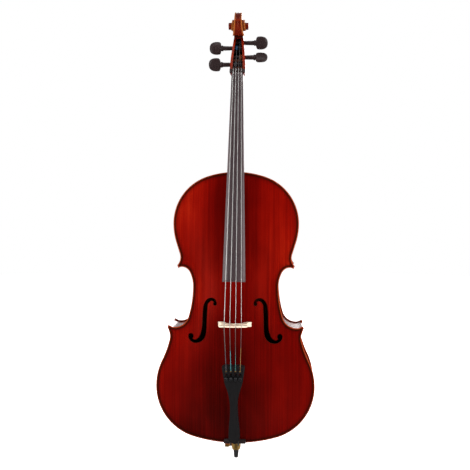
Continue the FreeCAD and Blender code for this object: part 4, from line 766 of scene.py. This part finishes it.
# %% strings
# places in the centre plane as y + iz
TAIL_FOOT, CROWN, NUT = -84.1 + 66.0j, -173.1 + 403.0j, -48.0 + 1104.6j
TILT = np.angle((CROWN - TAIL_FOOT) / 1j)
BALLS = TAIL_FOOT + (-0.75 + 220.1j) * np.exp(1j * TILT)
BALL_SPACING = 12.5
# name: (place over the tailpiece in spacings, x and y on the bridge, x on the nut, x on the peg, radius)
STRINGS = {"c": (-1.5, -22.8, -170.1, -11.3, -6.63, 0.95), "g": (-0.5, -7.6, -173.6, -3.77, -5.16, 0.8),
           "d": (0.5, 7.6, -173.5, 3.77, 4.665, 0.65), "a": (1.5, 22.8, -169.7, 11.3, 5.94, 0.55)}
# reach of a winding's core, half its width, reach where a string meets it, share left off at the ball
CORE, HALF_BAND, TOUCH, WIRE_START = 7.15, 3.3, 8.15, 0.015


def onto_peg(name, start, clear):
    """Where a run from start touches a circle round the peg: turn by asin(clear / distance)."""
    run = peg_centre(name) - start
    heading = run / abs(run) * np.exp(1j * np.arcsin(clear / abs(run)))
    return start + heading * np.sqrt(abs(run) ** 2 - clear ** 2)


def winding_skin(name, x, first, radius, clear):
    """A core sleeve, and a helix that settles on it from the string's touching point."""
    centre = peg_centre(name)
    turns = HALF_BAND / (2.06 * radius)
    share = np.linspace(0, 1, int(turns * 40))
    angle = np.angle(first - centre) - 2 * np.pi * turns * share
    reach = CORE + radius + (clear - CORE - radius) * np.exp(-share * turns * 7)
    helix = spread(x + np.sign(x) * HALF_BAND * share, centre + reach * np.exp(1j * angle))
    core = turned(x + np.array([-3.5, -3.2, 0, 3.2, 3.5]), [6.2, 7.3, 7.4, 7.3, 6.2], centre)
    return joined(core, tube(helix, radius, 12))


for name, (tail_place, bridge_x, bridge_y, nut_x, peg_x, radius) in STRINGS.items():
    clear = TOUCH + radius
    touch = onto_peg(name, NUT, clear)
    points = spread([tail_place * BALL_SPACING, bridge_x, nut_x, peg_x],
                    [BALLS, bridge_y + 1j * CROWN.imag, NUT, touch])
    points[0] += (points[1] - points[0]) * WIRE_START
    path = eased(points, 3.0)
    new_piece("string_" + name + "_wire", tube(path, radius), string_finish[name], "body", "string_steel",
              ("string_" + name,))
    new_piece("string_" + name + "_turns", winding_skin(name, peg_x, touch, radius, clear),
              string_finish[name], "peg_" + name, "peg_silk", ("winding_" + name,))
    print("string", name, "length", np.linalg.norm(np.diff(path, axis=0), axis=1).sum().round(1))

# %% [markdown]
# ## Crisp pieces with softened edges
# Bridge, nut, saddle, fingerboard, tailpiece and levers already have their exact shape in the
# frame. What they lack is the small rounding that every handled edge gets. A copy of the mesh is
# merged into one surface, its flat faces are rejoined, and a bevel takes the sharpness off.

# %% softened copies
SHARP, STEM_TOP = np.radians(32), 0.232


def softened(name, cad_name, material, width, body="body", share=lambda edge: 1.0, segments=2,
             shape=lambda work: None):
    """A copy of a frame node as one clean surface, with its sharp edges rounded.

    Each gets share(edge) of width millimetres; shape(work) may cut the merged copy first.
    """
    work = bmesh.new()
    work.from_mesh(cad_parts[cad_name].data)
    bmesh.ops.remove_doubles(work, verts=work.verts, dist=2e-6)
    shape(work)
    bmesh.ops.dissolve_limit(work, angle_limit=np.radians(0.6), verts=work.verts, edges=work.edges)
    bmesh.ops.recalc_face_normals(work, faces=work.faces)
    weights = [(edge.calc_face_angle(0) > SHARP) * share(edge) for edge in work.edges]
    mesh = bpy.data.meshes.new(name)
    work.to_mesh(mesh)
    work.free()
    mesh.attributes.new("bevel_weight_edge", "FLOAT", "EDGE").data.foreach_set("value", weights)
    piece = placed(name, mesh, material, body, (cad_name,))
    bevel = piece.modifiers.new("edges", "BEVEL")
    bevel.width, bevel.segments, bevel.limit_method = width * MM, segments, "WEIGHT"
    bevel.harden_normals = True
    print(name, "faces", len(mesh.polygons))


def behind_front(point):
    """How far back a point lies, square to the tailpiece's front."""
    return point[1] * np.cos(TILT) + point[2] * np.sin(TILT)


def stem_share(edge):
    """All of the width for the front's edges below the tuners, a quarter of it for the others."""
    front = all(behind_front(vertex.co) < TAIL_MIDDLE for vertex in edge.verts)
    low = all(vertex.co.z < STEM_TOP for vertex in edge.verts)
    return 1.0 if front and low else 0.25


tail_points = [vertex.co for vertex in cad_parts["tailpiece"].data.vertices]
TAIL_MIDDLE = min(behind_front(point) for point in tail_points) + 8 * MM
softened("bridge_blank", "bridge", bridge_maple, 0.5)
softened("nut_block", "nut", ebony, 0.5)
softened("saddle_block", "saddle", ebony, 1.0)
softened("fingerboard_blank", "fingerboard", board_ebony, 0.6)
softened("tailpiece_shell", "tailpiece", composite, 2.8, share=stem_share, segments=5)
softened("collar", "endpin_ferrule", brass, 0.5)
softened("thumb_screw_turning", "endpin_thumb_screw", brass, 0.4, "thumb_screw")
for name in STRINGS:
    softened("lever_plate_" + name, "tuner_lever_" + name, black_metal, 0.3, "lever_" + name)

# %% [markdown]
# ## Neck and scroll
# The frame's neck has plain joints between handle, heel, pegbox and turns, where a real one is
# carved from one block and flows. So its copy is cut above and below the pegbox, and carved
# surfaces take over from those very sections, the scroll above and the handle with its heel below.

# %% pegbox
CUT, FOOT = 1207.6, 1104.0
sections = []


def cut_off(work, height, up):
    """Cut a mesh at a height, drop the far side, close the cut; returns its box as (low, high)."""
    bmesh.ops.bisect_plane(work, geom=work.verts[:] + work.edges[:] + work.faces[:], dist=1e-7,
                           plane_co=(0, 0, height * MM), plane_no=(0, 0, up), clear_outer=True)
    rim = [edge for edge in work.edges if edge.is_boundary]
    points = np.array([vertex.co[:] for edge in rim for vertex in edge.verts]) / MM
    bmesh.ops.edgeloop_fill(work, edges=rim)
    return np.array([points.min(axis=0), points.max(axis=0)])


def keep_pegbox(work):
    """Cut the neck above and below the pegbox, and note both sections' boxes."""
    sections.extend([cut_off(work, CUT, 1), cut_off(work, FOOT, -1)])


def between_cuts(edge):
    """All of the width, but none where an edge lies in either cut."""
    heights = [vertex.co.z for vertex in edge.verts]
    return float(min(heights) < (CUT - 0.01) * MM and max(heights) > (FOOT + 0.01) * MM)


softened("pegbox", "neck", neck_maple, 0.6, share=between_cuts, shape=keep_pegbox)
stem, root = sections
print("pegbox cut", stem.round(1).tolist(), root.round(1).tolist())

# %% [markdown]
# The handle is flat in front, under the fingerboard, and half an oval behind. Towards the heel it
# deepens along two arcs down to the button, and narrows to the button's width; towards the
# pegbox the oval turns square. One formula gives all of it: x = cos^s and t = sin^s of an angle,
# where s = 1 makes an oval and s close to 0 makes a box.

# %% handle and heel
NECK_RISE, BOARD_FOOT, FOOT_DEPTH = 0.1596, 816.0, -83.4
UPWARD = np.degrees(np.arctan2(1, NECK_RISE))
HEEL_TOP, HEEL_HALF, LOW_END = 894, 13.8, 980
THROAT, SQUARE_START, NUT_FOOT, NUT_HALF, WIDENING = 1064, 1056, 1096, 16, 15 / 587


def neck_front(height):
    """Depth of the neck's flat front at a height."""
    return FOOT_DEPTH + NECK_RISE * (height - BOARD_FOOT)


behind = trace([(RIB_PLANE + 806j, 90, None), (RIB_PLANE + 836j, 165, None),
                (neck_front(HEEL_TOP) + 22 + 1j * HEEL_TOP, UPWARD, 1.9),
                (neck_front(THROAT) + 20.3 + 1j * THROAT, UPWARD, None), (12.3 + 1112j, 69.8, 0.7)], 1.5)
behind = np.append(behind[behind.imag < FOOT - 0.4], root[1, 1] + 1j * FOOT)
height = behind.imag
deep = behind.real - neck_front(height)
flare = np.clip((height - 1090) / 7, 0, 1)
half = NUT_HALF + WIDENING * (NUT_FOOT - height)
half = half + (root[1, 0] - half) * flare ** 2 * (3 - 2 * flare)
low_part = height < LOW_END
narrow = np.where(low_part, np.interp(deep, [22.5, 60, 120], [0, 0.5, 1]), 0)[:, None]
squareness = np.where(low_part, np.interp(deep, [22.5, 50, 110], [1, 0.5, 0.14]),
                      np.interp(height, [SQUARE_START, FOOT], [1, 0.03]))[:, None]
angle = np.linspace(0, np.pi / 2, 25)
back_share = np.sin(angle) ** squareness
side_share = np.clip(np.cos(angle), 0, 1) ** squareness
x = (half[:, None] + (HEEL_HALF - half[:, None]) * back_share * narrow) * side_share
plane = (neck_front(height) + 1j * height)[:, None] + back_share * deep[:, None]
rings = spread(np.hstack([x, -x[:, -2::-1]]), np.hstack([plane, plane[:, -2::-1]]))
new_piece("handle_and_heel", closed_skin(rings), neck_maple, "body", "varnished_maple", ("neck",), sharp=50)
print("handle sections", len(height), "deepest", deep.max().round(1))

# %% [markdown]
# A scroll is a ramp: one band that winds in on a logarithmic spiral and gets wider as it goes, so
# each turn stands out beyond the one before. Two shallow flutes run along the band, left and
# right of a ridge, between crisp edges, from which the varnish has rubbed off; those edges are also
# lightened as painted highlight, and the hollow against the next turn carries painted shade.
# Each section goes from the band's outer line in to the next turn's.

# %% scroll
EYE = 5.0 + 1239.0j
# half the band's width at angles along the spiral
TURN = np.array([-90, -26.5, 30, 90, 140, 180, 215, 245, 270, 330, 400, 450, 540, 630, 700, 760])
HALF = np.array([stem[1, 0], 12.4, 10.6, 9.8, 10.4, 11.6, 13.4, 15.8, 17.2, 17.4, 17.6, 18.0, 19.2, 20.8,
                 23.0, 24.4])
JOIN, CLIMB_ROWS, REACH, SHRINK, TUCK = -26.5, 16, 40.0, 0.83, 0.94
# the eye is a turned button right through the scroll, hollowed a little at both ends
EYE_PLACES = [-27.6, -28.7, -28.7, -28.0, -24.0, 0.0, 24.0, 28.0, 28.7, 28.7, 27.6]
EYE_RADII = [4.5, 7.2, 9.0, 9.7, 10.1, 10.3, 10.1, 9.7, 9.0, 7.2, 4.5]


def spiral(angle):
    """Points of the spiral as y + iz: the reach shrinks by one factor each quarter turn."""
    return EYE + REACH * SHRINK ** ((angle - 90) / 90) * np.exp(1j * np.radians(angle))


angle = np.concatenate([np.linspace(-88, -27, CLIMB_ROWS), np.linspace(JOIN, 760, 330)])
outer, inner = spiral(angle), spiral(np.minimum(angle + 360, 1100))
inner = EYE + (inner - EYE) * TUCK
foot = stem[1, 1] + 1j * stem[0, 2]
outer[:CLIMB_ROWS] = foot + np.linspace(0, 1, CLIMB_ROWS + 1)[:CLIMB_ROWS] * (spiral(JOIN) - foot)
inner[0] = stem[0, 1] + 1j * stem[0, 2]
span = np.abs(outer - inner)[:, None]
half = np.interp(angle, TURN, HALF)[:, None]
flute = np.interp(angle, [-88, -60, 0, 250, 330, 400], [0, 0.6, 1.5, 1.5, 0.5, 0])[:, None]
edge = np.interp(angle, [-88, -60, 760], [0.05, 1.0, 1.0])[:, None]
across = np.linspace(0, 1, 5)
land = half - edge - 1.2 * (edge > 0.5)
x = np.hstack([land * across, half - edge, half, half - edge * np.array([0.5, 0.9, 0.6, 0.3])])
drop = np.hstack([flute * np.sin(np.pi * across) ** 1.2, edge * 0, edge,
                  edge + (span - edge) * np.array([0.2, 0.5, 0.8, 1.0])])
x, drop = np.hstack([x, -x[:, :0:-1]]), np.hstack([drop, drop[:, :0:-1]])
plane = outer[:, None] + (inner - outer)[:, None] / span * drop
# painted highlight: the edge columns are lightened partly for rubbed varnish, partly for glints
glint_and_wear_columns = np.array([0, 0, 0, 0, 0.6, 1, 1, 0.3, 0, 0, 0])
glint_and_wear = 0.6 * np.clip((angle[:, None] + 88) / 40, 0, 1) * np.hstack([glint_and_wear_columns, glint_and_wear_columns[:0:-1]])
both = joined(closed_skin(spread(x, plane)), turned(EYE_PLACES, EYE_RADII, EYE))
recess, worn = np.zeros((2, len(both[0])))
# painted shade: points deep in the hollow against the next turn
recess[:drop.size] = np.clip((drop / span - 0.55) * 2, 0, 1).ravel()
worn[:drop.size] = glint_and_wear.ravel()
new_piece("carved_scroll", both, neck_maple, "body", "varnished_maple", ("neck",), 40, recess=recess,
          worn=worn)
print("scroll points", len(both[0]))

# %% [markdown]
# ## Pieces that keep their frame mesh
# Ribs, blocks, linings, bar, post, cord, rod and tip are right as they are. They only get a finish.

# %% finishes for the rest
FINISHES = {
    rib_maple: ("rib_",),
    bare_spruce: ("corner_block_", "end_block", "neck_block", "top_linings", "back_linings", "bass_bar",
                  "sound_post"),
    black_metal: ("tuner_axle", "tuner_screw_"),
    shaded_brass: ("string_ball_",),
    tail_cord: ("tail_gut",),
    steel: ("endpin_rod",),
    ebony: ("endpin_plug",),
    rubber: ("endpin_rubber_tip",),
}
finished = 0
for material, starts in FINISHES.items():
    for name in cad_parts:
        if name.startswith(starts):
            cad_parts[name].data.materials.clear()
            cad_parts[name].data.materials.append(material)
            finished += 1
print("finished frame nodes", finished)

# %% [markdown]
# ## Floor, light and camera
# The floor is a plain pale disc. Two tall soft boxes stand to the sides, so that the curved board
# and the rims catch them while the flat of the top keeps its deep colour, with one soft box above
# and one behind. The surroundings add some light, most of it from behind.

# %% stage
FLOOR_REACH = 6.0
angle = np.linspace(0, 2 * np.pi, 64, endpoint=False)
rim_points = FLOOR_REACH * np.stack([np.cos(angle), np.sin(angle), angle * 0], axis=1)
floor_mesh = bpy.data.meshes.new("studio_floor")
floor_mesh.from_pydata(rim_points.tolist(), [], [list(range(64))])
floor_finish = finish("pale_floor", Roughness=0.9, Specular_IOR_Level=0.0, Base_Color=(0.95, 0.95, 0.95, 1),
                      Emission_Color=(1, 1, 1, 1), Emission_Strength=0.9)[0]
floor_mesh.materials.append(floor_finish)
floor = in_scene("studio_floor", floor_mesh)
floor.visible_glossy = False


def soft_box(name, spot, aim_height, wide, high, power):
    """An area light, in metres and watts, that faces the cello's centre line at a height."""
    data = bpy.data.lights.new(name, "AREA")
    data.shape = "RECTANGLE"
    data.size, data.size_y, data.energy = wide, high, power
    light = in_scene(name, data)
    light.location = spot
    light.rotation_euler = (Vector((0, 0, aim_height)) - Vector(spot)).to_track_quat("-Z", "Y").to_euler()


soft_box("left_box", (-2.0, -1.5, 1.1), 0.75, 1.0, 2.2, 39)
soft_box("right_box", (2.0, -1.5, 1.1), 0.75, 1.0, 2.2, 46)
soft_box("high_box", (0, -1.2, 2.9), 0.8, 2.2, 1.2, 24)
soft_box("rear_box", (0.6, 2.4, 1.9), 0.7, 2.0, 2.0, 60)

world = bpy.data.worlds.new("studio")
world.use_nodes = True
bpy.context.scene.world = world
tree = world.node_tree
background = tree.nodes["Background"].inputs
toward = node(tree, "SeparateXYZ", {"Vector": node(tree, "TexCoord").outputs["Generated"]}).outputs["Y"]
seen = node(tree, "LightPath").outputs["Is Camera Ray"]
strength = sums(tree, "MAXIMUM", over_range(tree, toward, -0.9, 0.6, 0.03, 0.45), seen)
tree.links.new(strength, background["Strength"])
background["Color"].default_value = (1, 1, 1, 1)

camera_data = bpy.data.cameras.new("camera")
camera_data.lens, camera_data.sensor_width = 51.78, 36.0
camera_data.shift_x, camera_data.shift_y = -0.0497, -0.0494
camera = in_scene("camera", camera_data)
camera.location = (0.125, -1.94, 0.705)
camera.rotation_euler = (np.pi / 2, 0, 0.0335)
camera.rotation_euler.rotate_axis("Z", np.radians(0.33))
bpy.context.scene.camera = camera
bpy.context.scene.view_settings.view_transform = "Standard"
